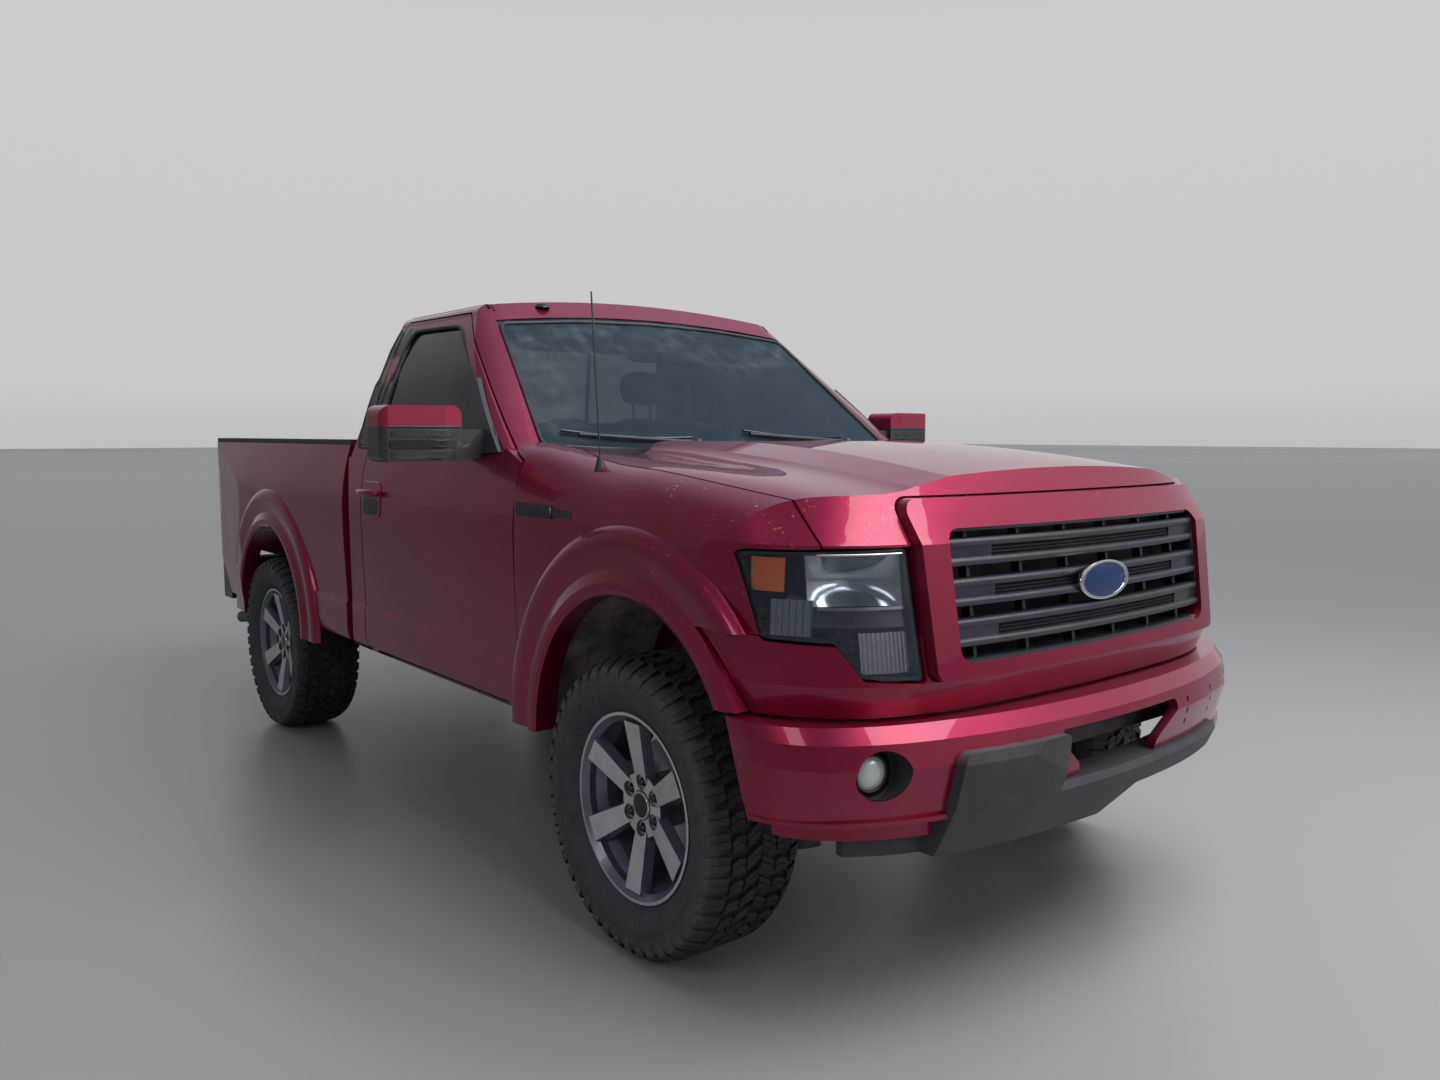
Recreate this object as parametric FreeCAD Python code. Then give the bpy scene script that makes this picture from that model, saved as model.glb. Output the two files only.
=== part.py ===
import FreeCAD, Part
import math
import os

from FreeCAD import Vector

# A full-size pickup truck with a regular cab, a short box and four-wheel drive.
# Millimetres. While it is modelled, X points to the driver's left, Y to the rear and Z up,
# and y = 0 is the front axle. placed() moves the finished pieces so that the origin is
# under the middle of the truck.

# Overall layout
wheelbase = 3195.0
front_overhang = 947.0
rear_overhang = 1271.0
track = 1702.0
body_half_width = 990.0
panel_gap = 7.0

# Heights of the body's main lines
sill_height = 575.0
crease_height = 760.0
cowl_height = 1385.0
belt_height = 1435.0
shoulder_height = 1930.0
roof_height = 2020.0

# Greenhouse
side_lean = 200.0
side_bulge = 22.0
shoulder_half_width = 680.0
pillar_thickness = 45.0
screen_base_y = 603.0
screen_rake = 1.227
screen_sag_base = 58.0
screen_sag_top = 20.0
cab_back_lean = 0.105
cab_corner = 55.0
glass_thickness = 5.0
glass_depth = 8.0

# Cab and doors
firewall_y = 600.0
door_front = 637.0
door_length = 1303.0
door_bottom = 600.0
door_thickness = 125.0
door_edge_step = 22.0
door_edge_depth = 10.0
door_skirt = 48.0
rear_pillar = 200.0
cab_floor_height = 700.0
cab_floor_thickness = 40.0
cab_wall = 50.0
sill_width = 150.0

# Front end
nose_skin = 24.0
hood_seam_gap = 5.0
hood_rear_y = 555.0
fascia_seam_height = 1000.0
surround_half_width = 668.0
surround_bottom = 890.0
surround_top = 1328.0
surround_proud = 27.0
surround_depth = 75.0
opening_half_width = 582.0
opening_bottom = 926.0
opening_top = 1254.0
grille_middle = 1096.0
grille_bar_height = 21.0
grille_bar_depth = 32.0
grille_pair_pitch = 98.0
grille_bar_pitch = 47.0
grille_mesh_half = 420.0
grille_strut_pitch = 192.0
lamp_depth = 120.0
bumper_top = 797.0
bumper_bottom = 565.0
bumper_skin = 28.0
valance_bottom = 505.0
air_dam_bottom = 450.0

# Wheel arches
arch_radius = 480.0
front_arch_height = 560.0
rear_arch_height = 540.0
flare_width = 70.0
flare_proud = 22.0
bulge_width = 125.0
bulge_proud = 15.0

# Wheels and tyres
tyre_radius = 430.0
tyre_width = 310.0
tyre_sides = 60
rim_radius = 254.0
rim_flange = 18.0
rim_width = 244.0
rim_skin = 9.0
spoke_count = 6
spoke_root_width = 66.0
spoke_tip_width = 88.0
spoke_thickness = 30.0
wheel_face_inset = 38.0
lug_circle = 135.0
lug_hole_radius = 15.0
lug_recess_radius = 23.0
hub_radius = 92.0
cap_radius = 41.0
disc_radius = 175.0
disc_thickness = 28.0
disc_offset = 51.0
running_gap = 0.3

# Load bed
bed_gap = 18.0
bed_floor_height = 867.0
bed_floor_thickness = 36.0
bed_rail_height = 1436.0
bed_inner_half_width = 828.0
wheelhouse_half_gap = 635.0
tailgate_half_width = 768.0
bed_rear_half_width = 945.0
tailgate_thickness = 58.0
bed_wall = 30.0
rail_cap_height = 22.0
rear_bumper_depth = 150.0
rear_bumper_half_width = 905.0
rear_bumper_wrap = 90.0
rear_bumper_top = 745.0
rear_bumper_bottom = 525.0

# Ladder frame
rail_outer = 450.0
rail_width = 75.0
rail_depth = 150.0
rail_mid_height = 470.0
rail_front_height = 560.0
rail_rear_height = 655.0
crossmember_lift = 20.0
mount_radius = 45.0
receiver_bore = 51.0
receiver_wall = 12.5
receiver_height = 623.0

# Front suspension and steering: ball joints of the left knuckle
upper_joint_x = 655.0
upper_joint_z = 770.0
lower_joint_x = 735.0
lower_joint_z = 300.0
joint_boss_radius = 26.0

# Running gear under the floor
engine_half_width = 300.0
engine_length = 820.0
engine_front = -420.0
engine_height = 620.0
shaft_radius = 45.0
axle_tube_radius = 45.0
differential_radius = 138.0
exhaust_radius = 32.0
liner_gap = 70.0
carrier_y = -560.0

# Seat and controls
seat_half_width = 700.0
cushion_front = 1330.0
cushion_height = 1060.0
backrest_height = 1590.0
steering_wheel_radius = 190.0
steering_x = 400.0

# Places that follow from the sizes above
door_rear = door_front + door_length
cab_rear = door_rear + rear_pillar
bed_front = cab_rear + bed_gap
truck_rear = wheelbase + rear_overhang
tailgate_outer = truck_rear - rear_bumper_depth + 4.0
bed_rear = tailgate_outer
wheel_plane = track / 2
shift_y = (front_overhang - rear_overhang - wheelbase) / 2
wide = body_half_width + 300.0


def box(x0, x1, y0, y1, z0, z1):
    return Part.makeBox(x1 - x0, y1 - y0, z1 - z0, Vector(x0, y0, z0))


def rod(start, end, radius):
    """A round bar between two points."""
    run = end - start
    return Part.makeCylinder(radius, run.Length, start, run)


def outline(corners, place):
    """A closed wire from (u, v) or (u, v, radius) corners; place gives each its 3-D point."""
    edges = []
    count = len(corners)
    ends = []
    for i, corner in enumerate(corners):
        here = Vector(corner[0], corner[1], 0)
        radius = corner[2] if len(corner) > 2 else 0.0
        if radius <= 0:
            ends.append((here, here, None))
            continue
        before = corners[i - 1]
        after = corners[(i + 1) % count]
        back = (Vector(before[0], before[1], 0) - here).normalize()
        on = (Vector(after[0], after[1], 0) - here).normalize()
        half = back.getAngle(on) / 2
        reach = radius / math.tan(half)
        middle_way = (back + on).normalize()
        centre = here + middle_way * (radius / math.sin(half))
        ends.append((here + back * reach, here + on * reach, centre - middle_way * radius))
    for i in range(count):
        start, stop, middle = ends[i]
        if middle is not None:
            edges.append(Part.Arc(place(start), place(middle), place(stop)).toShape())
        after = ends[(i + 1) % count][0]
        if (after - stop).Length > 0.001:
            edges.append(Part.makeLine(place(stop), place(after)))
    return Part.Wire(edges)


def slab_x(corners, x0, x1):
    """Corners are (y, z); the outline is extruded along X."""
    wire = outline(corners, lambda p: Vector(x0, p.x, p.y))
    return Part.Face(wire).extrude(Vector(x1 - x0, 0, 0))


def slab_y(corners, y0, y1):
    """Corners are (x, z); the outline is extruded along Y."""
    wire = outline(corners, lambda p: Vector(p.x, y0, p.y))
    return Part.Face(wire).extrude(Vector(0, y1 - y0, 0))


def slab_z(corners, z0, z1):
    """Corners are (x, y); the outline is extruded along Z."""
    wire = outline(corners, lambda p: Vector(p.x, p.y, z0))
    return Part.Face(wire).extrude(Vector(0, 0, z1 - z0))


def spline(points):
    curve = Part.BSplineCurve()
    curve.interpolate(points)
    return curve.toShape()


def mirrored(shape):
    return shape.mirror(Vector(0, 0, 0), Vector(1, 0, 0))


def both(shape):
    """The piece on the left side and its mirror image on the right."""
    return Part.makeCompound([shape, mirrored(shape)])


def fused(pieces):
    whole = pieces[0].fuse(pieces[1:]) if len(pieces) > 1 else pieces[0]
    return whole.removeSplitter()


def grown(corners, by):
    """A convex outline of (u, v) corners moved outward by a distance."""
    middle_u = sum(c[0] for c in corners) / len(corners)
    middle_v = sum(c[1] for c in corners) / len(corners)
    wide_corners = []
    for i, corner in enumerate(corners):
        before = corners[i - 1]
        after = corners[(i + 1) % len(corners)]
        sides = []
        for a, b in ((before, corner), (corner, after)):
            du, dv = b[0] - a[0], b[1] - a[1]
            length = math.hypot(du, dv)
            nu, nv = dv / length, -du / length
            if nu * (corner[0] - middle_u) + nv * (corner[1] - middle_v) < 0:
                nu, nv = -nu, -nv
            sides.append((nu, nv))
        (au, av), (bu, bv) = sides
        scale = by / (1 + au * bu + av * bv)
        moved = (corner[0] + (au + bu) * scale, corner[1] + (av + bv) * scale)
        wide_corners.append(moved + tuple(corner[2:]))
    return wide_corners


# Cab envelope

def side_x(z):
    """Half width of the greenhouse's straight chord at a height."""
    rise = (z - belt_height) / (shoulder_height - belt_height)
    return body_half_width - 45.0 - side_lean * rise


def section_edges(inset):
    """Half of the cab's cross-section as edges, from the sill to the roof's middle."""
    half = body_half_width - inset
    upper = belt_height - crease_height
    low = [(-40, sill_height), (-18, sill_height + 25), (-6, crease_height - 60), (-4, crease_height - 8)]
    high = [(-12, crease_height + 10), (-4, crease_height + 0.28 * upper), (0, crease_height + 0.5 * upper),
            (-5, crease_height + 0.73 * upper), (-25, crease_height + 0.89 * upper), (-45, belt_height)]
    low = [Vector(half + dx, 0, z) for dx, z in low]
    high = [Vector(half + dx, 0, z) for dx, z in high]
    belt = high[-1]
    shoulder = Vector(half - 45 - side_lean, 0, shoulder_height - inset * 0.6)
    chord = shoulder - belt
    bulge = Vector(chord.z, 0, -chord.x).normalize() * side_bulge
    side_middle = belt + chord * 0.5 + bulge
    edge = Vector(shoulder_half_width - inset, 0, roof_height - 45 - inset)
    turn = (shoulder + edge) * 0.5 + Vector(9, 0, 9)
    top = Vector(0, 0, roof_height - inset)
    return {"low": low, "high": high, "belt": belt, "side_middle": side_middle,
            "shoulder": shoulder, "turn": turn, "edge": edge, "top": top}


def flip(p):
    return Vector(-p.x, p.y, p.z)


def cab_section(inset):
    s = section_edges(inset)
    edges = [spline(s["low"]), Part.makeLine(s["low"][-1], s["high"][0]), spline(s["high"]),
             Part.Arc(s["belt"], s["side_middle"], s["shoulder"]).toShape(),
             Part.Arc(s["shoulder"], s["turn"], s["edge"]).toShape(),
             Part.Arc(s["edge"], s["top"], flip(s["edge"])).toShape(),
             Part.Arc(flip(s["edge"]), flip(s["turn"]), flip(s["shoulder"])).toShape(),
             Part.Arc(flip(s["shoulder"]), flip(s["side_middle"]), flip(s["belt"])).toShape(),
             spline([flip(p) for p in reversed(s["high"])]),
             Part.makeLine(flip(s["high"][0]), flip(s["low"][-1])),
             spline([flip(p) for p in reversed(s["low"])]),
             Part.makeLine(flip(s["low"][0]), s["low"][0])]
    return Part.Face(Part.Wire(edges))


def cab_prism(inset, y0, y1):
    face = cab_section(inset)
    face.translate(Vector(0, y0, 0))
    return face.extrude(Vector(0, y1 - y0, 0))


def greenhouse_plan(z, inset):
    """Plan outline of the greenhouse at a height, with swept screen corners."""
    rise = (z - cowl_height) / (shoulder_height - cowl_height)
    front = screen_base_y + screen_rake * (z - cowl_height) + inset
    sag = screen_sag_base + (screen_sag_top - screen_sag_base) * rise
    a = side_x(z) - 75
    rear = cab_rear - cab_back_lean * max(0.0, z - belt_height) - inset
    b = side_x(z) - cab_corner
    corner = cab_corner
    pts = [Vector(a, front + sag, z), Vector(a + 60, front + sag + 34, z), Vector(a + 100, front + sag + 105, z),
           Vector(wide, front + sag + 180, z), Vector(wide, rear - 250, z),
           Vector(b + corner * 1.3, rear - corner * 1.6, z), Vector(b + corner * 0.75, rear - corner * 0.35, z),
           Vector(b, rear, z)]
    front_arc = Part.Arc(flip(pts[0]), Vector(0, front, z), pts[0]).toShape()
    rear_arc = Part.Arc(pts[7], Vector(0, rear + 8, z), flip(pts[7])).toShape()
    edges = [front_arc, Part.Arc(pts[0], pts[1], pts[2]).toShape(), Part.makeLine(pts[2], pts[3]),
             Part.makeLine(pts[3], pts[4]), Part.makeLine(pts[4], pts[5]),
             Part.Arc(pts[5], pts[6], pts[7]).toShape(), rear_arc,
             Part.Arc(flip(pts[7]), flip(pts[6]), flip(pts[5])).toShape(),
             Part.makeLine(flip(pts[5]), flip(pts[4])), Part.makeLine(flip(pts[4]), flip(pts[3])),
             Part.makeLine(flip(pts[3]), flip(pts[2])), Part.Arc(flip(pts[2]), flip(pts[1]), flip(pts[0])).toShape()]
    return Part.Wire(edges)


def greenhouse_block(inset):
    return Part.makeLoft([greenhouse_plan(cowl_height, inset), greenhouse_plan(roof_height + 80, inset)],
                         True, True)


def lower_block():
    corner = cab_corner
    side = body_half_width - 15
    return slab_z([(-wide, firewall_y), (wide, firewall_y), (wide, cab_rear - 300),
                   (side + corner * 0.3, cab_rear - corner * 1.2), (side - corner * 0.3, cab_rear, 20),
                   (corner * 0.3 - side, cab_rear, 20), (-side - corner * 0.3, cab_rear - corner * 1.2),
                   (-wide, cab_rear - 300)], sill_height - 50, cowl_height)


# The door's outline follows the sill, both pillars and the roof rail
door_outline = [(door_front, door_bottom), (door_rear, door_bottom), (door_rear, belt_height),
                (door_rear + 50, shoulder_height + 16), (door_front + 770, shoulder_height + 9),
                (door_front + 112, belt_height), (door_front, belt_height - 40)]


def door_zone(by):
    """The left door's space: deep below the belt, a slim frame above, a skirt beside the sill."""
    zone = slab_x(grown(door_outline, by), shoulder_half_width - 80, wide)
    sill = box(0, body_half_width - door_skirt - by, 0, wheelbase, 0, cab_floor_height + 20 - by)
    low_inside = cab_prism(door_thickness + by, 0, wheelbase)
    low_inside = low_inside.common(box(0, wide, 0, wheelbase, 0, belt_height))
    high_inside = cab_prism(pillar_thickness + by, 0, wheelbase)
    high_inside = high_inside.common(box(0, wide, 0, wheelbase, belt_height, roof_height))
    return zone.cut([sill, low_inside, high_inside])


def cab_walls():
    """The closed cab with its hollow inside, before doors and windows are cut."""
    outer = cab_prism(0, firewall_y, cab_rear + 20).common(lower_block().fuse(greenhouse_block(0)))
    low_room = cab_prism(door_thickness, firewall_y + cab_wall, cab_rear - cab_wall)
    low_room = low_room.common(box(-wide, wide, 0, wheelbase, cab_floor_height, belt_height + 5))
    high_room = cab_prism(pillar_thickness, 0, wheelbase).common(greenhouse_block(pillar_thickness))
    high_room = high_room.common(box(-wide, wide, firewall_y + cab_wall, wheelbase, belt_height, roof_height))
    under = box(sill_width - body_half_width, body_half_width - sill_width, 0, wheelbase,
                0, cab_floor_height - cab_floor_thickness)
    fender_lap = cab_prism(-10, firewall_y - 10, door_front - panel_gap).cut(
        cab_prism(nose_skin + panel_gap, firewall_y - 20, door_front))
    corner = cab_prism(0, door_front, door_front + 130).common(door_zone(0))
    corner = corner.common(box(-wide, wide, 0, wheelbase, cowl_height - 5, belt_height))
    outer = outer.cut([low_room, high_room, under, fender_lap])
    return outer.fuse([corner, mirrored(corner)])


window_outline = [(door_front + 178, belt_height + 22, 12), (door_rear - 8, belt_height + 22, 25),
                  (door_rear - 60, shoulder_height - 24, 45), (door_front + 800, shoulder_height - 34, 60)]
screen_bottom_half = 838.0
screen_top_half = 704.0
screen_bottom = 1432.0
screen_top = 1908.0
rear_window_half = 650.0
rear_window_bottom = 1520.0
rear_window_top = 1885.0


def screen_zone(by):
    """The windscreen's opening seen from the front."""
    y0, y1 = firewall_y - 50, firewall_y + 900
    low, high = screen_bottom - by, screen_top + by
    a = Vector(screen_bottom_half + by, y0, low)
    b = Vector(screen_top_half + by, y0, high)
    bottom = Part.Arc(flip(a), Vector(0, y0, low - 30), a).toShape()
    top = Part.Arc(b, Vector(0, y0, high + 44), flip(b)).toShape()
    wire = Part.Wire([bottom, Part.makeLine(a, b), top, Part.makeLine(flip(b), flip(a))])
    return Part.Face(wire).extrude(Vector(0, y1 - y0, 0))


def rear_window_zone():
    w = rear_window_half
    return slab_y([(-w, rear_window_bottom, 40), (w, rear_window_bottom, 40),
                   (w - 25, rear_window_top, 60), (25 - w, rear_window_top, 60)], cab_rear - 200, cab_rear + 50)


def cab(walls):
    shell = walls
    door_hole = door_zone(panel_gap)
    shell = shell.cut([door_hole, mirrored(door_hole), screen_zone(0), rear_window_zone()])
    pad_top = door_bottom - running_gap
    for y in (door_front + 25, door_rear - 90):
        pad = box(body_half_width - 40, body_half_width - 22, y, y + 60, sill_height + 10, pad_top)
        shell = shell.fuse([pad, mirrored(pad)])
    ditch = box(shoulder_half_width + 12, shoulder_half_width + 22, firewall_y + 690, cab_rear,
                roof_height - 66, roof_height)
    return shell.cut([ditch, mirrored(ditch)]).removeSplitter()


def cab_glass():
    pane = greenhouse_block(glass_depth).cut(greenhouse_block(glass_depth + glass_thickness * 1.6))
    screen = pane.common(screen_zone(0))
    back_pane = greenhouse_block(glass_depth).cut(greenhouse_block(glass_depth + glass_thickness))
    back = back_pane.common(rear_window_zone())
    return Part.makeCompound(screen.Solids + back.Solids)


def door(walls):
    """The left door: a full-thickness lower box and a slim window frame."""
    wall = walls.common(door_zone(0))
    hole = slab_x(window_outline, shoulder_half_width - 80, wide)
    inner_edge = cab_prism(door_edge_depth, firewall_y, cab_rear).cut(slab_x(
        [(door_front, door_bottom - 60), (door_rear - door_edge_step, door_bottom - 60),
         (door_rear - door_edge_step, belt_height), (door_rear + 50 - door_edge_step * 1.4, roof_height),
         (door_front, roof_height)], 0, wide))
    return wall.cut(hole).cut(inner_edge)


def door_glass():
    pane = cab_prism(glass_depth, firewall_y, cab_rear).cut(cab_prism(glass_depth + glass_thickness,
                                                                     firewall_y, cab_rear))
    return pane.common(slab_x(window_outline, shoulder_half_width - 80, wide))


cowl_half_width = 800.0

# Nose: one skin that is divided into fenders, hood, lamps and fascia

# Rows of the top skin: station, heights at the middle, dome edge and dome foot, then the seam
nose_rows = [
    (door_front + 130, 1486, 355, 1478, 495, 1458, 800, 1452, 905, 1440),
    (560, 1482, 360, 1474, 500, 1454, 800, 1440, 905, 1428),
    (310, 1474, 375, 1464, 505, 1440, 795, 1413, 900, 1388),
    (0, 1461, 400, 1449, 530, 1420, 795, 1396, 897, 1372),
    (-280, 1443, 430, 1429, 560, 1398, 792, 1373, 893, 1346),
    (-500, 1421, 455, 1405, 582, 1376, 788, 1350, 888, 1322),
    (-900, 1372, 470, 1352, 600, 1322, 780, 1294, 880, 1262),
]


def nose_row(row, inset):
    y, middle, edge_x, edge_z, foot_x, foot_z, seam_x, seam_z, turn_x, turn_z = row
    half = body_half_width - inset
    side_top = turn_z - 175
    foot = Vector(foot_x, y, foot_z - inset)
    outer = [foot, Vector(seam_x, y, seam_z - inset), Vector(turn_x - inset * 0.7, y, turn_z - inset * 0.7),
             Vector(half - 27, y, turn_z - 75), Vector(half - 4, y, side_top)]
    edge = Vector(edge_x, y, edge_z - inset)
    floor_z = crease_height + 10
    edges = [Part.Arc(flip(edge), Vector(0, y, middle - inset), edge).toShape(), Part.makeLine(edge, foot),
             spline(outer), spline([outer[-1], Vector(half, y, (side_top + floor_z) / 2 + 60),
                                    Vector(half - 12, y, floor_z)]),
             Part.makeLine(Vector(half - 12, y, floor_z), flip(Vector(half - 12, y, floor_z))),
             spline([flip(Vector(half - 12, y, floor_z)), flip(Vector(half, y, (side_top + floor_z) / 2 + 60)),
                     flip(outer[-1])]),
             spline([flip(p) for p in reversed(outer)]), Part.makeLine(flip(foot), flip(edge))]
    return Part.Wire(edges)


def nose_top(inset):
    """Everything under the hood and fender skin, from the crease up."""
    return Part.makeLoft([nose_row(row, inset) for row in nose_rows], True, False)


# Plan of the front: how far back from the middle each half width lies
nose_plan = [(350, 10), (650, 48), (800, 108), (885, 185), (940, 275), (970, 385), (985, 495)]
# Levels of the front face: height, foremost y and how strongly the plan curves
nose_levels = [(770, -815, 1.15), (surround_bottom - 5, -850, 1.0), (1220, -805, 0.94), (1460, -690, 1.4)]


def nose_level(z, front, strength, inset):
    points = [Vector(x - inset * x / body_half_width, front + back * strength + inset, z) for x, back in nose_plan]
    curve = [flip(p) for p in reversed(points)] + [Vector(0, front + inset, z)] + points
    tip = points[-1]
    out = Vector(tip.x + 12, tip.y + 160, z)
    back = Vector(out.x, door_front + 100, z)
    edges = [spline(curve), Part.makeLine(tip, out), Part.makeLine(out, back), Part.makeLine(back, flip(back)),
             Part.makeLine(flip(back), flip(out)), Part.makeLine(flip(out), flip(tip))]
    return Part.Wire(edges)


def nose_front(inset):
    return Part.makeLoft([nose_level(z, front, strength, inset) for z, front, strength in nose_levels], True, True)


def nose_skin_shell():
    outer = nose_top(0).common(nose_front(0))
    inner = nose_top(nose_skin).common(nose_front(nose_skin))
    return outer.cut(inner).cut(box(-wide, wide, -wheelbase, door_front + 200, 0, crease_height + 12))


# The hood's side seam in plan, from the rear corner to below its front edge
hood_seam = [(800, hood_rear_y - 45), (846, 330), (868, 100), (873, -200), (868, -480), (862, -660)]


def hood_zone(by):
    """The space above the hood's outline, which by widens at the sides and the rear."""
    low = lamp_top - 3 + (3 - by if by > 0 else 3)
    side = [Vector(x + by, y + (by if y > 400 else 0), low) for x, y in hood_seam]
    rear_middle = Vector(0, hood_rear_y + 25 + by, low)
    front = Vector(side[-1].x, -1000, low)
    edges = [Part.makeLine(flip(side[0]), rear_middle), Part.makeLine(rear_middle, side[0]), spline(side),
             Part.makeLine(side[-1], front), Part.makeLine(front, flip(front)), Part.makeLine(flip(front), flip(side[-1])),
             spline([flip(p) for p in reversed(side)])]
    return Part.Face(Part.Wire(edges)).extrude(Vector(0, 0, roof_height - low))


lamp_top = 1214.0


def surround_zone(by):
    w, low, high = surround_half_width + by, surround_bottom - by, surround_top + by
    return slab_y([(24 - w, low, 30), (w - 24, low, 30), (w, high, 40), (-w, high, 40)], -1000, -640)


def opening_zone(by, y0=-1000.0, y1=-640.0):
    w, low, high = opening_half_width + by, opening_bottom - by, opening_top + by
    return slab_y([(12 - w, low, 42), (w - 12, low, 42), (w, high, 42), (-w, high, 42)], y0, y1)


def hood(shell):
    return shell.common(hood_zone(0)).cut(surround_zone(4))


def grille_surround():
    """The painted shell round the grille; it is bolted to the hood and lifts with it."""
    shell = nose_front(-surround_proud).cut(nose_front(surround_depth - surround_proud))
    frame_ring = shell.common(surround_zone(0)).cut(opening_zone(0))
    tabs = [box(x - 30, x + 30, -800, -700, surround_top - 20, surround_top + 70) for x in (-380, 380)]
    under_hood = nose_top(nose_skin).common(nose_front(nose_skin)).fuse(frame_ring)
    return fused([frame_ring] + [tab.common(under_hood) for tab in tabs])


def grille_curve(x):
    """How far behind its middle the grille lies at a half width."""
    return 48.0 * (abs(x) / 650.0) ** 2


def grille_arc(z, half, setback):
    """The plan curve of the grille at a height."""
    y = -875.0 + setback + 0.14 * (z - surround_bottom)
    end = Vector(half, y + grille_curve(half), z)
    return Part.Arc(flip(end), Vector(0, y, z), end).toShape()


def grille_band(z0, z1, half, depth, setback):
    """A flat web that follows the grille's curve."""
    middle_z = (z0 + z1) / 2
    front = grille_arc(middle_z, half, setback)
    front.translate(Vector(0, 0, z0 - middle_z))
    a = front.Vertexes[-1].Point
    back = front.copy()
    back.translate(Vector(0, depth, 0))
    b = a + Vector(0, depth, 0)
    edges = [front, Part.makeLine(a, b), back, Part.makeLine(flip(b), flip(a))]
    return Part.Face(Part.Wire(edges)).extrude(Vector(0, 0, z1 - z0))


def grille_bar(z, half):
    """A bar with a rounded nose, swept along the grille's curve."""
    path = grille_arc(z, half, 0)
    start = path.Vertexes[0].Point
    h = grille_bar_height / 2
    corners = [(0, -h + 1, 7), (0, h - 1, 7), (grille_bar_depth, h), (grille_bar_depth, -h)]
    profile = outline(corners, lambda p: Vector(start.x, start.y + p.x, start.z + p.y))
    return Part.Wire([path]).makePipe(Part.Face(profile))


def grille():
    """Three pairs of bars with a web between each pair, end panels, struts and a plain badge."""
    half = opening_half_width - 14
    half_pair = grille_bar_pitch / 2
    pieces = []
    for pair in (-1, 0, 1):
        z = grille_middle + pair * grille_pair_pitch
        pieces += [grille_bar(z + side * half_pair, half) for side in (-1, 1)]
        pieces.append(grille_band(z - half_pair, z + half_pair, half, 8, 18))
        panel = grille_band(z - half_pair, z + half_pair, half, 12, 7)
        pieces.append(panel.cut(box(-grille_mesh_half, grille_mesh_half, -1000, -600, 0, roof_height)))
        for side in (-1, 1):
            end_x = side * (half - 7)
            y = -875.0 + grille_curve(half) + 0.14 * (z - surround_bottom)
            pieces.append(box(end_x - 7, end_x + 7, y - 1, y + grille_bar_depth, z - half_pair, z + half_pair))
    for i in range(-5, 6, 2):
        x = i * grille_strut_pitch / 2
        pieces.append(box(x - 5, x + 5, -848, -790, opening_bottom, opening_top))
    badge = Part.makeCylinder(60, 22, Vector(0, 0, 0), Vector(0, -1, 0))
    matrix = FreeCAD.Matrix()
    matrix.scale(Vector(2.05, 1, 1))
    badge = badge.transformGeometry(matrix)
    badge.translate(Vector(0, -842, grille_middle - 5))
    pieces.append(badge)
    return fused(pieces).common(opening_zone(0, -1000, -700))


# Headlamp seen from the front
lamp_outline = [(965, lamp_top - 10, 14), (676, lamp_top, 10), (656, surround_bottom, 8), (800, surround_bottom + 12, 10),
                (848, 985, 10), (948, 990, 10)]


def lamp_zone(by, y0=-1000.0, y1=-440.0):
    return slab_y(grown(lamp_outline, by), y0, y1)


def lamp_block(by):
    return nose_front(9).cut(nose_front(lamp_depth + by)).common(lamp_zone(by - 3))


def headlamp():
    body = lamp_block(0)
    room = nose_front(0).cut(nose_front(lamp_depth - 8)).common(lamp_zone(-9))
    lug = box(700, 750, carrier_y - 130, carrier_y, 1010, 1050).cut(nose_front(0).cut(nose_front(lamp_depth - 4)))
    return body.cut(room).fuse(lug)


def headlamp_lens():
    return nose_front(4).cut(nose_front(9)).common(lamp_zone(-3))


def arch_cutter(y, z, radius, x0, x1):
    """A wheel opening, round above and open to the ground."""
    return rod(Vector(x0, y, z), Vector(x1, y, z), radius).fuse(box(x0, x1, y - radius, y + radius, 0, z))


def flare(y, z):
    """The round lip and the soft bulge above it, turned round the wheel arch."""
    r0 = arch_radius
    r1 = r0 + flare_width
    r2 = r1 + bulge_width
    base = body_half_width - 60
    valley = body_half_width + bulge_proud - 8
    lip = [(base, r0), (body_half_width + flare_proud - 8, r0), (body_half_width + flare_proud, r0 + 14),
           (body_half_width + flare_proud, r0 + 34), (body_half_width + flare_proud - 9, r1 - 14), (valley, r1)]
    bulge = [(valley, r1), (body_half_width + bulge_proud, r1 + 0.45 * bulge_width),
             (body_half_width + bulge_proud - 5, r2 - 22), (body_half_width - 12, r2)]
    foot = (base, r0 + 60)
    lip_points = [Vector(x, y, z + r) for x, r in lip]
    bulge_points = [Vector(x, y, z + r) for x, r in bulge]
    foot_point = Vector(foot[0], y, z + foot[1])
    edges = [Part.makeLine(a, b) for a, b in zip(lip_points, lip_points[1:])]
    edges += [spline(bulge_points), Part.makeLine(bulge_points[-1], foot_point),
              Part.makeLine(foot_point, lip_points[0])]
    return Part.Face(Part.Wire(edges)).revolve(Vector(0, y, z), Vector(1, 0, 0), 360)


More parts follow.
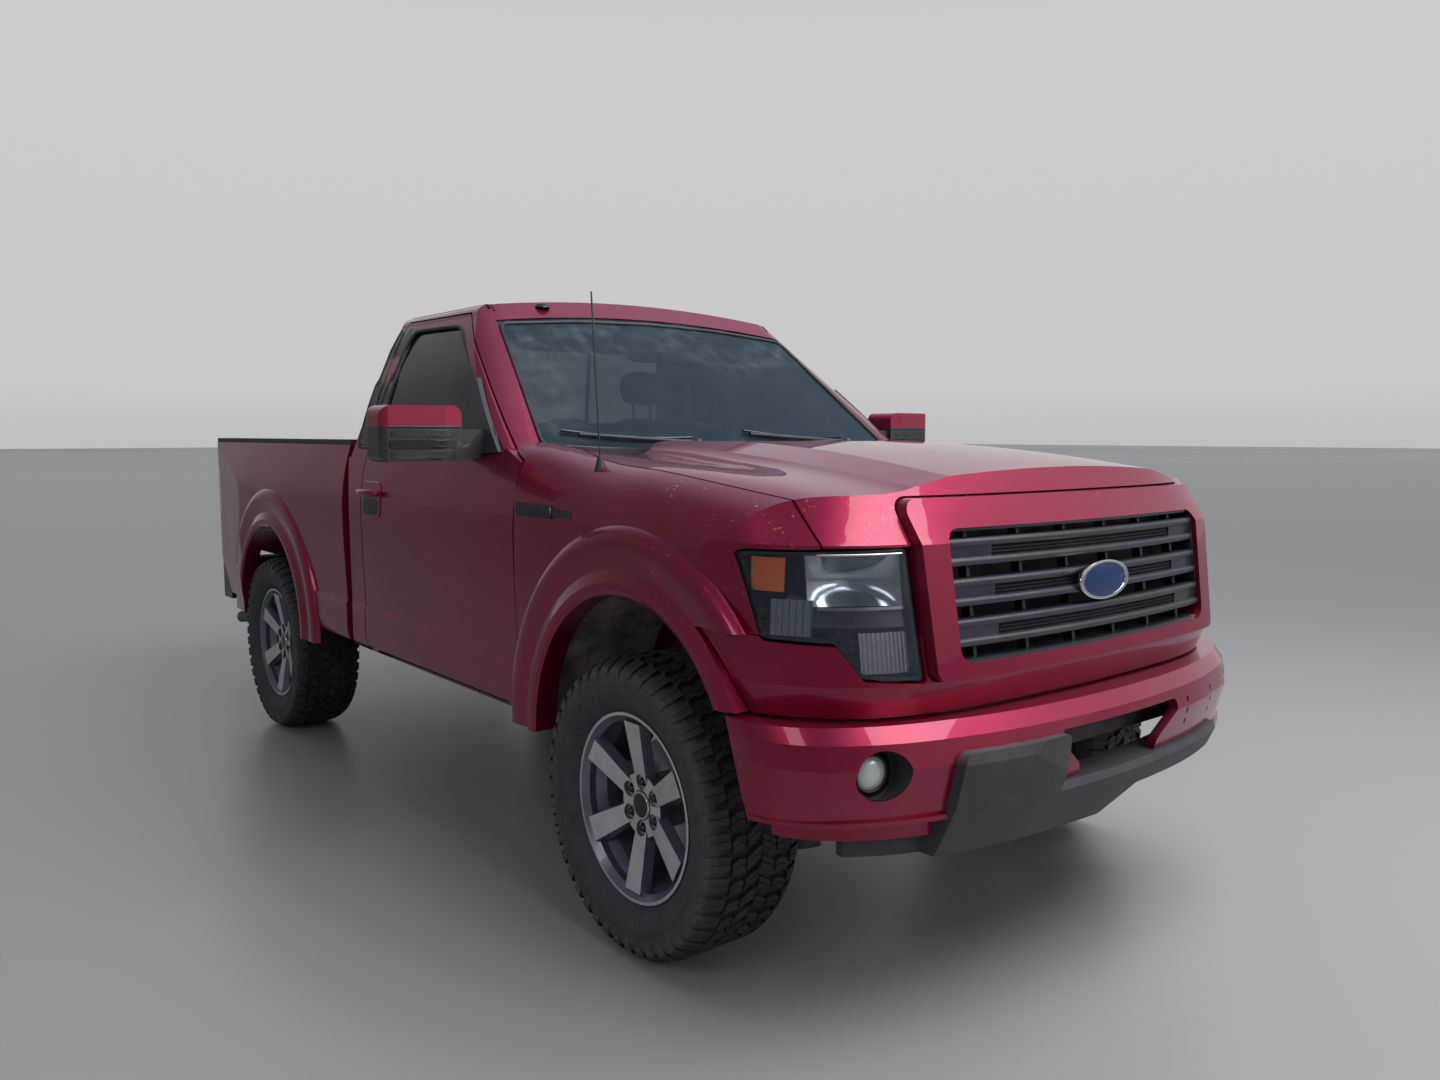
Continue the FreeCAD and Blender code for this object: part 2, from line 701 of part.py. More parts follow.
def fender(shell):
    """The left front fender with its flare."""
    shell = shell.common(box(0, wide, -wheelbase, wheelbase, 0, roof_height))
    shell = shell.cut(hood_zone(hood_seam_gap))
    low_wall = cab_prism(0, 300, door_front - panel_gap).cut(cab_prism(nose_skin, 200, wheelbase))
    low_wall = low_wall.common(box(500, wide, 300, door_front, sill_height, crease_height + 12))
    skirt = shell.fuse(low_wall)
    ring = flare(0, front_arch_height).cut(box(0, wide, -wheelbase, wheelbase, -wheelbase, front_arch_height - 8))
    front_end = box(0, wide, -wheelbase, -200, 0, bumper_top + 8)
    below = box(0, wide, -wheelbase, -100, 0, fascia_seam_height)
    below = below.cut(rod(Vector(0, 0, front_arch_height), Vector(wide, 0, front_arch_height),
                          arch_radius + flare_width))
    skirt = skirt.cut([below, front_end]).fuse(ring.cut(front_end).cut(below))
    skirt = skirt.cut(arch_cutter(0, front_arch_height, arch_radius, 0, wide))
    edge = grown(door_outline, panel_gap)
    rear_edge = [edge[6], edge[5], (wheelbase, belt_height), (wheelbase, 0), (door_front - panel_gap, 0)]
    behind = slab_x(rear_edge, 0, wide)
    under_screen = box(0, cowl_half_width + hood_seam_gap, hood_rear_y - 60, wheelbase, 0, roof_height)
    tip_end = box(0, wide, door_front + 112, wheelbase, 0, roof_height)
    lamp_side = box(0, surround_half_width + 30, -wheelbase, -600, 0, lamp_top)
    return skirt.cut([lamp_zone(4), surround_zone(4), lamp_side, behind, under_screen, tip_end, greenhouse_block(-3)])


def front_fascia():
    """The painted panel that runs under both lamps and the grille."""
    shell = nose_front(0).cut(nose_front(nose_skin))
    shell = shell.common(box(-wide, wide, -wheelbase, -100, bumper_top + 6, fascia_seam_height - 3))
    reach = arch_radius + flare_width + 4
    arch = rod(Vector(-wide, 0, front_arch_height), Vector(wide, 0, front_arch_height), reach)
    skin = shell.cut([arch, lamp_zone(4), mirrored(lamp_zone(4)), surround_zone(4), opening_zone(0)])
    stays = [box(x - 20, x + 20, -900, carrier_y, bumper_top + 20, bumper_top + 45) for x in (-600, 600)]
    stays = [stay.common(nose_front(nose_skin - 4)) for stay in stays]
    return fused([skin] + stays)


# Plan of the bumper: how far back from the middle each half width lies
bumper_plan = [(275, 12), (451, 34), (602, 68), (738, 110), (850, 166), (942, 240), (986, 310), (1008, 420)]
bumper_levels = [(valance_bottom - 10, 0), (bumper_bottom, 32), (700, 0), (760, 12), (bumper_top, 42)]


def bumper_level(z, back_set, inset):
    front = -front_overhang + back_set + inset
    points = [Vector(x - inset * x / body_half_width, front + back, z) for x, back in bumper_plan]
    curve = [flip(p) for p in reversed(points)] + [Vector(0, front, z)] + points
    rear = Vector(points[-1].x, -200, z)
    edges = [spline(curve), Part.makeLine(points[-1], rear), Part.makeLine(rear, flip(rear)),
             Part.makeLine(flip(rear), flip(points[-1]))]
    return Part.Wire(edges)


def bumper_block(inset, levels):
    return Part.makeLoft([bumper_level(z, back, inset) for z, back in levels], True, True)


frame_front = -640.0
fog_x = 797.0
fog_height = 684.0
fog_hole_radius = 62.0
fog_lens_radius = 42.0
mouth_top_half = 322.0
mouth_foot_half = 185.0
mouth_top = 735.0
dam_half_width = 625.0
dam_top = 597.0
dam_short_bottom = 520.0
pad_inner_x = 258.0
pad_height = 130.0
pad_proud = 26.0
beam_front = 125.0 - front_overhang


def bumper_face(inset):
    return bumper_block(inset, bumper_levels[1:])


def clip_slots():
    """The rows of small holes that hold the bumper pad; the left pad is missing."""
    holes = []
    for x in (350, 545):
        for z in (652, 686, 720):
            holes.append(box(x - 5, x + 5, -wheelbase, beam_front, z - 8, z + 8))
    return holes


def front_bumper():
    rear_end = slab_x([(-462, belt_height), (-462, 815), (-550, bumper_bottom - 5), (-566, 440), (0, 440),
                       (0, belt_height)], -wide, wide)
    shell = bumper_face(0).cut(bumper_face(bumper_skin)).cut(rear_end)
    low_levels = [(valance_bottom, 0), (bumper_bottom, 0)]
    valance = bumper_block(62, low_levels).cut(bumper_block(62 + bumper_skin, low_levels)).cut(rear_end)
    mouth = slab_y([(-mouth_foot_half, 560), (mouth_foot_half, 560), (mouth_foot_half, 628, 40),
                    (mouth_top_half, mouth_top, 22), (-mouth_top_half, mouth_top, 22), (-mouth_foot_half, 628, 40)],
                   -1000, -600)
    low_gap = dam_half_width + running_gap
    dam_room = box(-low_gap, low_gap, -wheelbase, 0, 0, dam_top + running_gap)
    hole = rod(Vector(fog_x, -wheelbase, fog_height), Vector(fog_x, 0, fog_height), fog_hole_radius)
    ledge_levels = [(bumper_bottom - 6, 20), (bumper_bottom + 6, 20)]
    inner_levels = [(z, 0) for z, _ in ledge_levels]
    ledge = bumper_block(0, ledge_levels).cut(bumper_block(62 + bumper_skin, inner_levels)).cut(rear_end)
    deck_levels = [(bumper_top - 12, 40), (bumper_top, 42)]
    deck = bumper_block(2, deck_levels).cut(bumper_block(110, deck_levels)).cut(rear_end)
    ends = [box(x - 20, x + 20, -front_overhang + 20, beam_front, 640, 700) for x in (-560, 560)]
    ends = [end.common(bumper_face(bumper_skin - 3)) for end in ends]
    shell = shell.fuse(valance.Solids + [ledge, deck]).cut([mouth, hole, mirrored(hole), dam_room] + clip_slots())
    return fused([shell] + ends)


def fog_lamp():
    front = -front_overhang + 150
    bowl = rod(Vector(fog_x, front + 75, fog_height), Vector(fog_x, front + 20, fog_height), fog_hole_radius - 0.5)
    lens = rod(Vector(fog_x + 14, front + 20, fog_height), Vector(fog_x + 14, front - 4, fog_height), fog_lens_radius)
    return bowl.fuse(lens)


def bumper_pad():
    """The flat pad on the right end of the mouth, seated on the bumper's face."""
    zone = slab_y([(-dam_half_width, dam_top - 18), (-pad_inner_x - 22, dam_top - 18),
                   (-pad_inner_x, dam_top + pad_height, 18), (-dam_half_width, dam_top + pad_height, 34)],
                  -front_overhang, -700)
    pad = bumper_face(-pad_proud).cut(bumper_face(-running_gap)).common(zone)
    foot = bumper_face(-pad_proud).cut(bumper_face(16)).common(zone)
    return pad.fuse(foot.common(box(-wide, wide, -1000, -700, 0, dam_top)))


def air_dam():
    """The grey plastic sill of the bumper: ledge, face and the deflector, broken off on the left."""
    levels = [(air_dam_bottom, 62), (dam_short_bottom, 26), (dam_top - 20, 0), (dam_top, 8)]
    room_levels = [(air_dam_bottom - 10, 62)] + levels[1:-1] + [(dam_top - 10, 8)]
    middle = box(-dam_half_width, dam_half_width, -wheelbase, -600, air_dam_bottom, dam_top)
    face = bumper_block(2, levels).cut(bumper_block(16, room_levels)).cut(bumper_block(96, levels)).common(middle)
    inset = 62 + bumper_skin + running_gap
    side_levels = [(air_dam_bottom, 0), (dam_top, 0)]
    side = bumper_block(inset, side_levels).cut(bumper_block(inset + 14, side_levels))
    side = side.common(box(-800, 800, -wheelbase, -500, air_dam_bottom, dam_top))
    side = side.cut(box(12 - dam_half_width, dam_half_width - 12, -wheelbase, 0, 0, belt_height))
    rib = bumper_block(8, levels).cut(bumper_block(inset + 10, side_levels)).common(middle)
    rib = rib.cut(box(12 - dam_half_width, dam_half_width - 12, -wheelbase, 0, 0, belt_height))
    broken = slab_y([(-50, air_dam_bottom - 10), (100, dam_short_bottom), (wide, dam_short_bottom),
                     (wide, air_dam_bottom - 10)], -wheelbase, 0)
    return fused([face, side, rib, bumper_pad()]).cut(broken)


# Load bed

def bed_plan():
    """Plan outline of the bed's left half: it narrows to the rear and has round rear corners."""
    return slab_z([(0, bed_front - 10), (wide, bed_front - 10), (wide, wheelbase + 200),
                   (body_half_width + 2, wheelbase + 480), (bed_rear_half_width, bed_rear, 110), (0, bed_rear)],
                  0, roof_height)


def bed_side():
    """The left bed side: outer skin to inner wall, with the wheel opening."""
    body = cab_prism(0, bed_front, bed_rear).common(
        box(bed_inner_half_width, wide, bed_front, bed_rear, sill_height + 20, bed_rail_height))
    skirt = box(bed_inner_half_width, body_half_width - 45, bed_front, bed_rear, 0, bed_floor_height)
    body = body.cut(skirt)
    rear_post = box(tailgate_half_width + panel_gap, bed_inner_half_width, bed_rear - 60, bed_rear,
                    bed_floor_height, bed_rail_height)
    ring = flare(wheelbase, rear_arch_height)
    ring = ring.cut(box(0, wide, bed_front - 500, bed_rear + 500, -wheelbase, rear_arch_height - 15))
    body = fused([body, rear_post, ring]).common(bed_plan())
    low_corner = slab_x([(bed_rear - 60, 805), (bed_rear + 50, 805), (bed_rear + 50, 400), (bed_rear - 340, 400),
                         (bed_rear - 340, sill_height + 20)], 0, wide)
    body = body.cut(arch_cutter(wheelbase, rear_arch_height, arch_radius, wheelhouse_half_gap - 50, wide))
    return body.cut([tail_lamp_zone(0), low_corner])


def tail_lamp_zone(by):
    return box(862 - by, wide, bed_rear - 165 - by, bed_rear + 50, 1000 - by, 1312 + by)


def tail_lamp():
    return cab_prism(0, bed_rear - 165, bed_rear).common(tail_lamp_zone(0)).common(bed_plan())


def bed():
    floor = box(-bed_inner_half_width, bed_inner_half_width, bed_front, bed_rear - tailgate_thickness - panel_gap,
                bed_floor_height - bed_floor_thickness, bed_floor_height)
    front = box(-bed_inner_half_width, bed_inner_half_width, bed_front, bed_front + bed_wall,
                bed_floor_height, bed_rail_height)
    pieces = [floor, front]
    for side in (-1, 1):
        x0 = side * wheelhouse_half_gap
        x1 = side * bed_inner_half_width
        house = rod(Vector(x0, wheelbase, rear_arch_height), Vector(x1, wheelbase, rear_arch_height),
                    arch_radius + 22)
        house = house.common(box(-wide, wide, bed_front, bed_rear, bed_floor_height - bed_floor_thickness,
                                 bed_rail_height))
        pieces.append(house)
    for i in range(-5, 6):
        pieces.append(box(i * 110 - 28, i * 110 + 28, bed_front + bed_wall, bed_rear - 100,
                          bed_floor_height, bed_floor_height + 8))
    body = fused(pieces)
    for side in (-1, 1):
        body = body.cut(arch_cutter(wheelbase, rear_arch_height, arch_radius, side * (wheelhouse_half_gap + 5),
                                    side * wide) if side > 0 else
                        mirrored(arch_cutter(wheelbase, rear_arch_height, arch_radius, wheelhouse_half_gap + 5, wide)))
    return body


def rail_caps():
    side = box(bed_inner_half_width - 6, body_half_width - 50, bed_front + 4, bed_rear - 4, bed_rail_height,
               bed_rail_height + rail_cap_height)
    front = box(6 - bed_inner_half_width, bed_inner_half_width - 6, bed_front + 4, bed_front + 60, bed_rail_height,
                bed_rail_height + rail_cap_height)
    side = side.common(bed_plan())
    return fused([side, mirrored(side), front])


tailgate_hinge_y = tailgate_outer - 22.0
tailgate_hinge_z = bed_floor_height + 22.0


def tailgate():
    w = tailgate_half_width
    body = slab_x([(tailgate_outer - tailgate_thickness, bed_floor_height + 6, 12),
                   (tailgate_outer, bed_floor_height + 6, 12), (tailgate_outer, bed_rail_height + 10, 10),
                   (tailgate_outer - tailgate_thickness, bed_rail_height + 10, 14)], -w, w)
    dish = slab_y([(-w + 150, 1040, 40), (w - 150, 1040, 40), (w - 150, 1330, 40), (150 - w, 1330, 40)],
                  tailgate_outer - 8, tailgate_outer + 20)
    pin_length = panel_gap - running_gap
    pins = [rod(Vector(side * w, tailgate_hinge_y, tailgate_hinge_z),
                Vector(side * (w + pin_length), tailgate_hinge_y, tailgate_hinge_z), 14) for side in (-1, 1)]
    return fused([body.cut(dish)] + pins)


def rear_bumper():
    y0, y1 = truck_rear - rear_bumper_depth + 10, truck_rear
    w = rear_bumper_half_width
    wrap_y = y0 - rear_bumper_wrap
    inner = w - 70
    body = slab_z([(-w, wrap_y), (-inner, wrap_y), (-inner, y0), (inner, y0), (inner, wrap_y), (w, wrap_y),
                   (w, y1 - 60, 30), (w - 90, y1 - 8, 40), (0, y1), (90 - w, y1 - 8, 40), (-w, y1 - 60, 30)],
                  rear_bumper_bottom, rear_bumper_top)
    recess = slab_y([(-270, 590, 30), (270, 590, 30), (230, 710, 30), (-230, 710, 30)], y1 - 25, y1 + 20)
    hollow = box(30 - w, w - 30, y0 - 200, y1 - 80, rear_bumper_bottom - 10, rear_bumper_top - 20)
    brackets = [box(x - 25, x + 25, truck_rear - 240, y0 + 80, 660, 735) for x in (-410, 410)]
    tow_gap = box(-42, 42, y0 - 20, y1 + 20, rear_bumper_bottom - 10, 665)
    return fused([body.cut([recess, hollow, tow_gap])] + brackets)


# Frame and running gear

def frame():
    rear_kick = wheelbase - 620
    top = [(frame_front, rail_front_height + rail_depth), (420, rail_front_height + rail_depth),
           (640, rail_mid_height + rail_depth), (rear_kick - 260, rail_mid_height + rail_depth),
           (rear_kick, rail_rear_height + rail_depth), (truck_rear - 240, rail_rear_height + rail_depth)]
    low = [(y, z - rail_depth) for y, z in reversed(top)]
    rail = slab_x(top + low, rail_outer - rail_width, rail_outer)
    pieces = [rail, mirrored(rail)]
    inner = rail_outer - rail_width
    rear_cross_z = rail_rear_height + crossmember_lift
    cross = ((frame_front + 20, rail_front_height + crossmember_lift, 100), (1000, rail_mid_height, 30),
             (1650, rail_mid_height + 130, 30), (wheelbase - 480, rear_cross_z, 120),
             (wheelbase + 430, rear_cross_z, 120), (truck_rear - 320, rear_cross_z, 120))
    for y, z, depth in cross:
        pieces.append(box(-inner, inner, y, y + 80, z, z + depth))
    mount_x = rail_outer - rail_width / 2
    cab_under = cab_floor_height - cab_floor_thickness
    bed_under = bed_floor_height - bed_floor_thickness
    mounts = [(720, rail_mid_height, cab_under), (1900, rail_mid_height, cab_under),
              (wheelbase - 500, rail_rear_height, bed_under), (wheelbase + 700, rail_rear_height, bed_under)]
    for y, rail_z, top_z in mounts:
        for side in (-1, 1):
            pieces.append(rod(Vector(side * mount_x, y, rail_z + rail_depth - 5), Vector(side * mount_x, y, top_z),
                              mount_radius))
    shelf = box(rail_outer - 10, 506, -60, 60, rail_front_height + 60, rail_front_height + rail_depth)
    hanger = box(rail_outer - 10, 560, wheelbase - 700, wheelbase - 640, rail_rear_height - 60, rail_rear_height + 60)
    shackle = box(rail_outer - 10, 560, wheelbase + 680, wheelbase + 740, rail_rear_height - 60,
                  rail_rear_height + 60)
    for piece in (shelf, hanger, shackle):
        pieces += [piece, mirrored(piece)]
    pieces.append(box(-580, 580, beam_front, beam_front + 40, 640, 720))
    pieces += [box(x - 34, x + 34, beam_front + 38, frame_front + 2, 640, 700) for x in (-412, 412)]
    return fused(pieces)


def hitch_receiver():
    """The square socket for a hitch bar, hung under the last crossmember."""
    half = receiver_bore / 2 + receiver_wall
    height = receiver_height
    tube = box(-half, half, truck_rear - 330, truck_rear - 40, height - half, height + half)
    bore = receiver_bore / 2
    socket = box(-bore, bore, truck_rear - 250, truck_rear, height - bore, height + bore)
    foot = box(-60, 60, truck_rear - 320, truck_rear - 240, height + half - 6, rail_rear_height + crossmember_lift)
    return tube.fuse(foot).cut(socket)


def chain(points, radius):
    """A bent pipe: straight runs with round corners."""
    pieces = [rod(a, b, radius) for a, b in zip(points, points[1:])]
    pieces += [Part.makeSphere(radius, p) for p in points[1:-1]]
    return fused(pieces)


def engine():
    half = engine_half_width
    low = rail_front_height + 40
    block = slab_y([(-half * 0.6, low, 20), (half * 0.6, low, 20), (half, low + 330, 30), (half, low + engine_height, 50),
                    (-half, low + engine_height, 50), (-half, low + 330, 30)],
                   engine_front, engine_front + engine_length)
    mounts = [box(side * half * 0.6 if side > 0 else -rail_outer + 40, rail_outer - 40 if side > 0 else -half * 0.6,
                  -60, 20, low + 60, low + 100) for side in (-1, 1)]
    inner = rail_outer - rail_width
    mounts = [m.common(box(-inner, inner, -500, 500, 0, 2000)) for m in mounts]
    return fused([block] + mounts)


def radiator():
    core = box(-360, 360, carrier_y - 60, carrier_y - 4, 720, 1180)
    tanks = [box(x0, x0 + 40, carrier_y - 66, carrier_y, 720, 1180) for x0 in (-400, 360)]
    return fused([core] + tanks)


def engine_bay():
    """Inner aprons, the lamp carrier and the ledges under the fenders and the hood."""
    depth = nose_skin + running_gap
    inside = nose_top(depth).common(nose_front(depth))
    frame_top = rail_front_height + rail_depth
    apron = box(505, 530, carrier_y, firewall_y, 905, 1255)
    tower = rod(Vector(545, 0, 905), Vector(545, 0, 985), 62).cut(box(0, 505, -200, 200, 0, roof_height))
    ledge = box(505, wide, -430, firewall_y, 1240, 1255).common(inside)
    low_apron = [box(480, 507, y0, y1, frame_top + 2, 915) for y0, y1 in ((carrier_y, -170), (170, 560))]
    post = box(400, 600, carrier_y, carrier_y + 25, frame_top, 1255)
    carrier = box(600, 860, carrier_y, carrier_y + 25, bumper_top + 10, 1255).common(inside)
    rest = box(700, 740, carrier_y, carrier_y + 25, 1200, roof_height).common(inside)
    foot = box(400, 440, carrier_y, carrier_y + 80, frame_top, frame_top + 30)
    hinge = box(640, 700, hood_rear_y - 60, hood_rear_y - 20, 1240, roof_height).common(inside)
    half = fused([apron, tower, ledge, post, carrier, rest, foot, hinge] + low_apron).cut(lamp_block(running_gap))
    top_bar = box(-400, 400, carrier_y, carrier_y + 25, 1185, 1225)
    low_bar = box(-400, 400, carrier_y, carrier_y + 25, frame_top, 745)
    return fused([half, mirrored(half), top_bar, low_bar])


def drivetrain():
    low = rail_mid_height + 30
    gearbox = slab_y([(-150, low, 30), (150, low, 30), (120, low + 150, 30), (-120, low + 150, 30)],
                     engine_front + engine_length, 1150)
    bell = rod(Vector(0, engine_front + engine_length, low + 90), Vector(0, engine_front + engine_length + 160, low + 90),
               150).cut(box(-300, 300, 0, 2000, cab_floor_height - cab_floor_thickness - 4, 2000))
    transfer = slab_y([(-300, low, 30), (140, low, 30), (140, low + 145, 30), (-300, low + 120, 30)], 1150, 1450)
    rear_shaft = rod(Vector(0, 1450, low + 60), Vector(0, wheelbase - 236, tyre_radius + 35), shaft_radius)
    front_shaft = rod(Vector(-250, 1150, low + 80), Vector(-250, 96, tyre_radius - 9), 30)
    return fused([gearbox, bell, transfer, rear_shaft, front_shaft])


def front_suspension():
    """Control arms, coil-over struts, the front differential and the steering rack."""
    kingpin = Vector(upper_joint_x - lower_joint_x, 0, upper_joint_z - lower_joint_z).normalize()
    upper = Vector(upper_joint_x, 0, upper_joint_z)
    lower = Vector(lower_joint_x, 0, lower_joint_z)
    low_arm = slab_z([(rail_outer - 40, -210, 20), (rail_outer - 40, 210, 20), (rail_outer + 30, 190, 20),
                      (lower_joint_x - 90, 48, 20), (lower_joint_x - 20, 26), (lower_joint_x - 20, -26),
                      (lower_joint_x - 90, -48, 20), (rail_outer + 30, -190, 20)],
                     lower_joint_z - 52, lower_joint_z - 14)
    low_boss = rod(lower - kingpin * 52, lower - kingpin * 20, joint_boss_radius)
    leg = box(rail_outer - 60, rail_outer - 5, -190, 190, lower_joint_z - 40, rail_front_height)
    up_arm = slab_z([(rail_outer - 4, -150, 12), (rail_outer - 4, 150, 12), (rail_outer + 30, 140, 12),
                     (upper_joint_x - 40, 34, 12), (upper_joint_x, 22), (upper_joint_x, -22),
                     (upper_joint_x - 40, -34, 12), (rail_outer + 30, -140, 12)],
                    upper_joint_z + 24, upper_joint_z + 46)
    up_arm = up_arm.cut(rod(Vector(545, 0, 0), Vector(545, 0, 2000), 66))
    up_boss = rod(upper + kingpin * 20, upper + kingpin * 48, joint_boss_radius)
    up_foot = box(rail_outer - 60, rail_outer, -150, 150, rail_front_height + rail_depth, upper_joint_z + 46)
    up_foot = up_foot.cut(box(0, wide, -110, 110, 0, 2000))
    strut = rod(Vector(585, 0, lower_joint_z - 20), Vector(544, 0, 920), 50).cut(box(0, wide, -200, 200, 905, 1200))
    shaft = rod(Vector(140, 0, tyre_radius), Vector(lower_joint_x - 85, 0, tyre_radius), 16)
    shaft = shaft.cut(box(560, 660, -100, 100, 0, 2000))
    left = fused([low_arm, low_boss, leg, strut, up_arm, up_boss, up_foot])
    differential = rod(Vector(-150, 0, tyre_radius), Vector(150, 0, tyre_radius), 95)
    nose_case = rod(Vector(-250, 90, tyre_radius - 10), Vector(-250, -20, tyre_radius - 10), 60)
    link = box(-250, 0, -20, 60, tyre_radius - 50, tyre_radius + 20)
    shafts = [shaft, mirrored(shaft)]
    hangers = [box(side * 250 - 20, side * 250 + 20, -40, 40, tyre_radius - 20, rail_front_height - 6) for side in (-1, 1)]
    beam = box(-395, 395, -40, 40, rail_front_height - 46, rail_front_height - 6)
    rack = rod(Vector(-480, -150, 400), Vector(480, -150, 400), 26)
    return fused([left, mirrored(left), differential, nose_case, link, beam, rack] + shafts + hangers)


def knuckle():
    """The left hub carrier with its brake caliper."""
    kingpin = Vector(upper_joint_x - lower_joint_x, 0, upper_joint_z - lower_joint_z).normalize()
    upper = Vector(upper_joint_x, 0, upper_joint_z)
    lower = Vector(lower_joint_x, 0, lower_joint_z)
    post = rod(lower - kingpin * (20 - running_gap), upper + kingpin * (20 - running_gap), 20)
    hub_face = wheel_plane - disc_offset - running_gap
    bearing = rod(Vector(lower_joint_x - 62, 0, tyre_radius), Vector(hub_face, 0, tyre_radius), 62)
    shield = rod(Vector(hub_face - 22, 0, tyre_radius), Vector(hub_face - 16, 0, tyre_radius), disc_radius + 4)
    shield = shield.cut(box(0, wide, 40, 400, 0, wide))
    arm = box(lower_joint_x - 60, lower_joint_x - 20, -150, -20, tyre_radius - 60, tyre_radius - 20)
    disc_in = wheel_plane - disc_offset
    disc_out = disc_in + disc_thickness
    caliper = box(disc_in - 42, disc_out + 30, 92, 205, tyre_radius - 75, tyre_radius + 75)
    slot = box(disc_in - 5, disc_out + 5, 0, disc_radius + 8, 0, wide)
    caliper = caliper.common(rod(Vector(0, 0, tyre_radius), Vector(wide, 0, tyre_radius), 205))
    caliper = caliper.cut(slot)
    carrier = box(disc_in - 42, disc_in - 16, 40, 110, tyre_radius - 60, tyre_radius + 60)
    return fused([post, bearing, shield, arm, caliper, carrier])


def wheel_barrel():
    w = rim_width / 2
    r = rim_radius
    t = rim_skin
    lip = r + rim_flange
    profile = [(-w, lip), (8 - w, lip), (10 - w, r), (-80, r), (-60, r - 16), (50, r - 16), (80, r), (w - 10, r),
               (w - 8, lip), (w, lip), (w, lip - t), (w - 18, r - t), (82, r - t), (52, r - 16 - t),
               (-60, r - 16 - t), (-82, r - t), (14 - w, r - t), (-w, lip - t)]
    pts = [Vector(x, 0, z) for x, z in profile]
    face = Part.Face(Part.makePolygon(pts + [pts[0]]))
    return face.revolve(Vector(0, 0, 0), Vector(1, 0, 0), 360)


def spoke_section(radius, width, front):
    """A flat-faced spoke with tapered flanks, cut across at one radius."""
    back = front - spoke_thickness
    pts = [Vector(front, width / 2 - 7, radius), Vector(back, width / 2 + 2, radius),
           Vector(back, -width / 2 - 2, radius), Vector(front, 7 - width / 2, radius)]
    return Part.makePolygon(pts + [pts[0]])


def wheel():
    """A six-spoke wheel about the X axis with its face to +X, with hub and brake disc."""
    face_x = rim_width / 2 - wheel_face_inset
    pieces = [wheel_barrel()]
    hub = rod(Vector(face_x - 40, 0, 0), Vector(face_x, 0, 0), hub_radius)
    spoke = Part.makeLoft([spoke_section(hub_radius - 24, spoke_root_width, face_x + 1),
                           spoke_section(rim_radius - rim_skin, spoke_tip_width, rim_width / 2 - 5)], True, True)
    pieces.append(hub)
    for i in range(spoke_count):
        turned = spoke.copy()
        turned.rotate(Vector(0, 0, 0), Vector(1, 0, 0), 360 / spoke_count * i)
        pieces.append(turned)
    body = fused(pieces)
    holes = []
    for i in range(spoke_count):
        a = 2 * math.pi * i / spoke_count
        at = Vector(0, -lug_circle / 2 * math.sin(a), lug_circle / 2 * math.cos(a))
        holes.append(rod(at + Vector(face_x - 26, 0, 0), at + Vector(face_x + 30, 0, 0), lug_hole_radius))
        holes.append(rod(at + Vector(face_x - 9, 0, 0), at + Vector(face_x + 30, 0, 0), lug_recess_radius))
    holes.append(rod(Vector(face_x - 12, 0, 0), Vector(face_x + 30, 0, 0), cap_radius + 3))
    body = body.cut(holes)
    cap = rod(Vector(face_x - 14, 0, 0), Vector(face_x + 2, 0, 0), cap_radius)
    hat = rod(Vector(-disc_offset, 0, 0), Vector(face_x - 30, 0, 0), 80)
    disc = rod(Vector(-disc_offset, 0, 0), Vector(disc_thickness - disc_offset, 0, 0), disc_radius)
    return fused([body, cap, hat, disc])


def faceted_ring(profile, sides):
    """A ring about the X axis from (x, radius) points, with flat sides and a corner at its foot."""
    rings = []
    for i in range(sides):
        a = 2 * math.pi * i / sides
        rings.append([Vector(x, r * math.sin(a), -r * math.cos(a)) for x, r in profile])
    faces = []
    for i in range(sides):
        here, there = rings[i], rings[(i + 1) % sides]
        for j in range(len(profile)):
            k = (j + 1) % len(profile)
            faces.append(Part.Face(Part.makePolygon([here[j], here[k], there[k], there[j], here[j]])))
    ring = Part.Solid(Part.Shell(faces))
    if ring.Volume < 0:
        ring.reverse()
    return ring


def tyre():
    """A wide all-terrain tyre about the X axis: sidewalls and square shoulders."""
    w = tyre_width / 2
    bead = rim_width / 2 - 10.5
    half = [(bead, rim_radius), (bead, rim_radius + rim_flange + 2), (bead + 18, rim_radius + 38),
            (w, rim_radius + 88), (w - 12, tyre_radius - 17), (w - 34, tyre_radius)]
    return faceted_ring(half + [(-x, r) for x, r in reversed(half)], tyre_sides)


def on_axle(shape, y, side):
    """A left-hand wheel piece moved to its axle, mirrored for the right side."""
    moved = shape.copy()
    moved.translate(Vector(wheel_plane, y, tyre_radius))
    return moved if side > 0 else mirrored(moved)


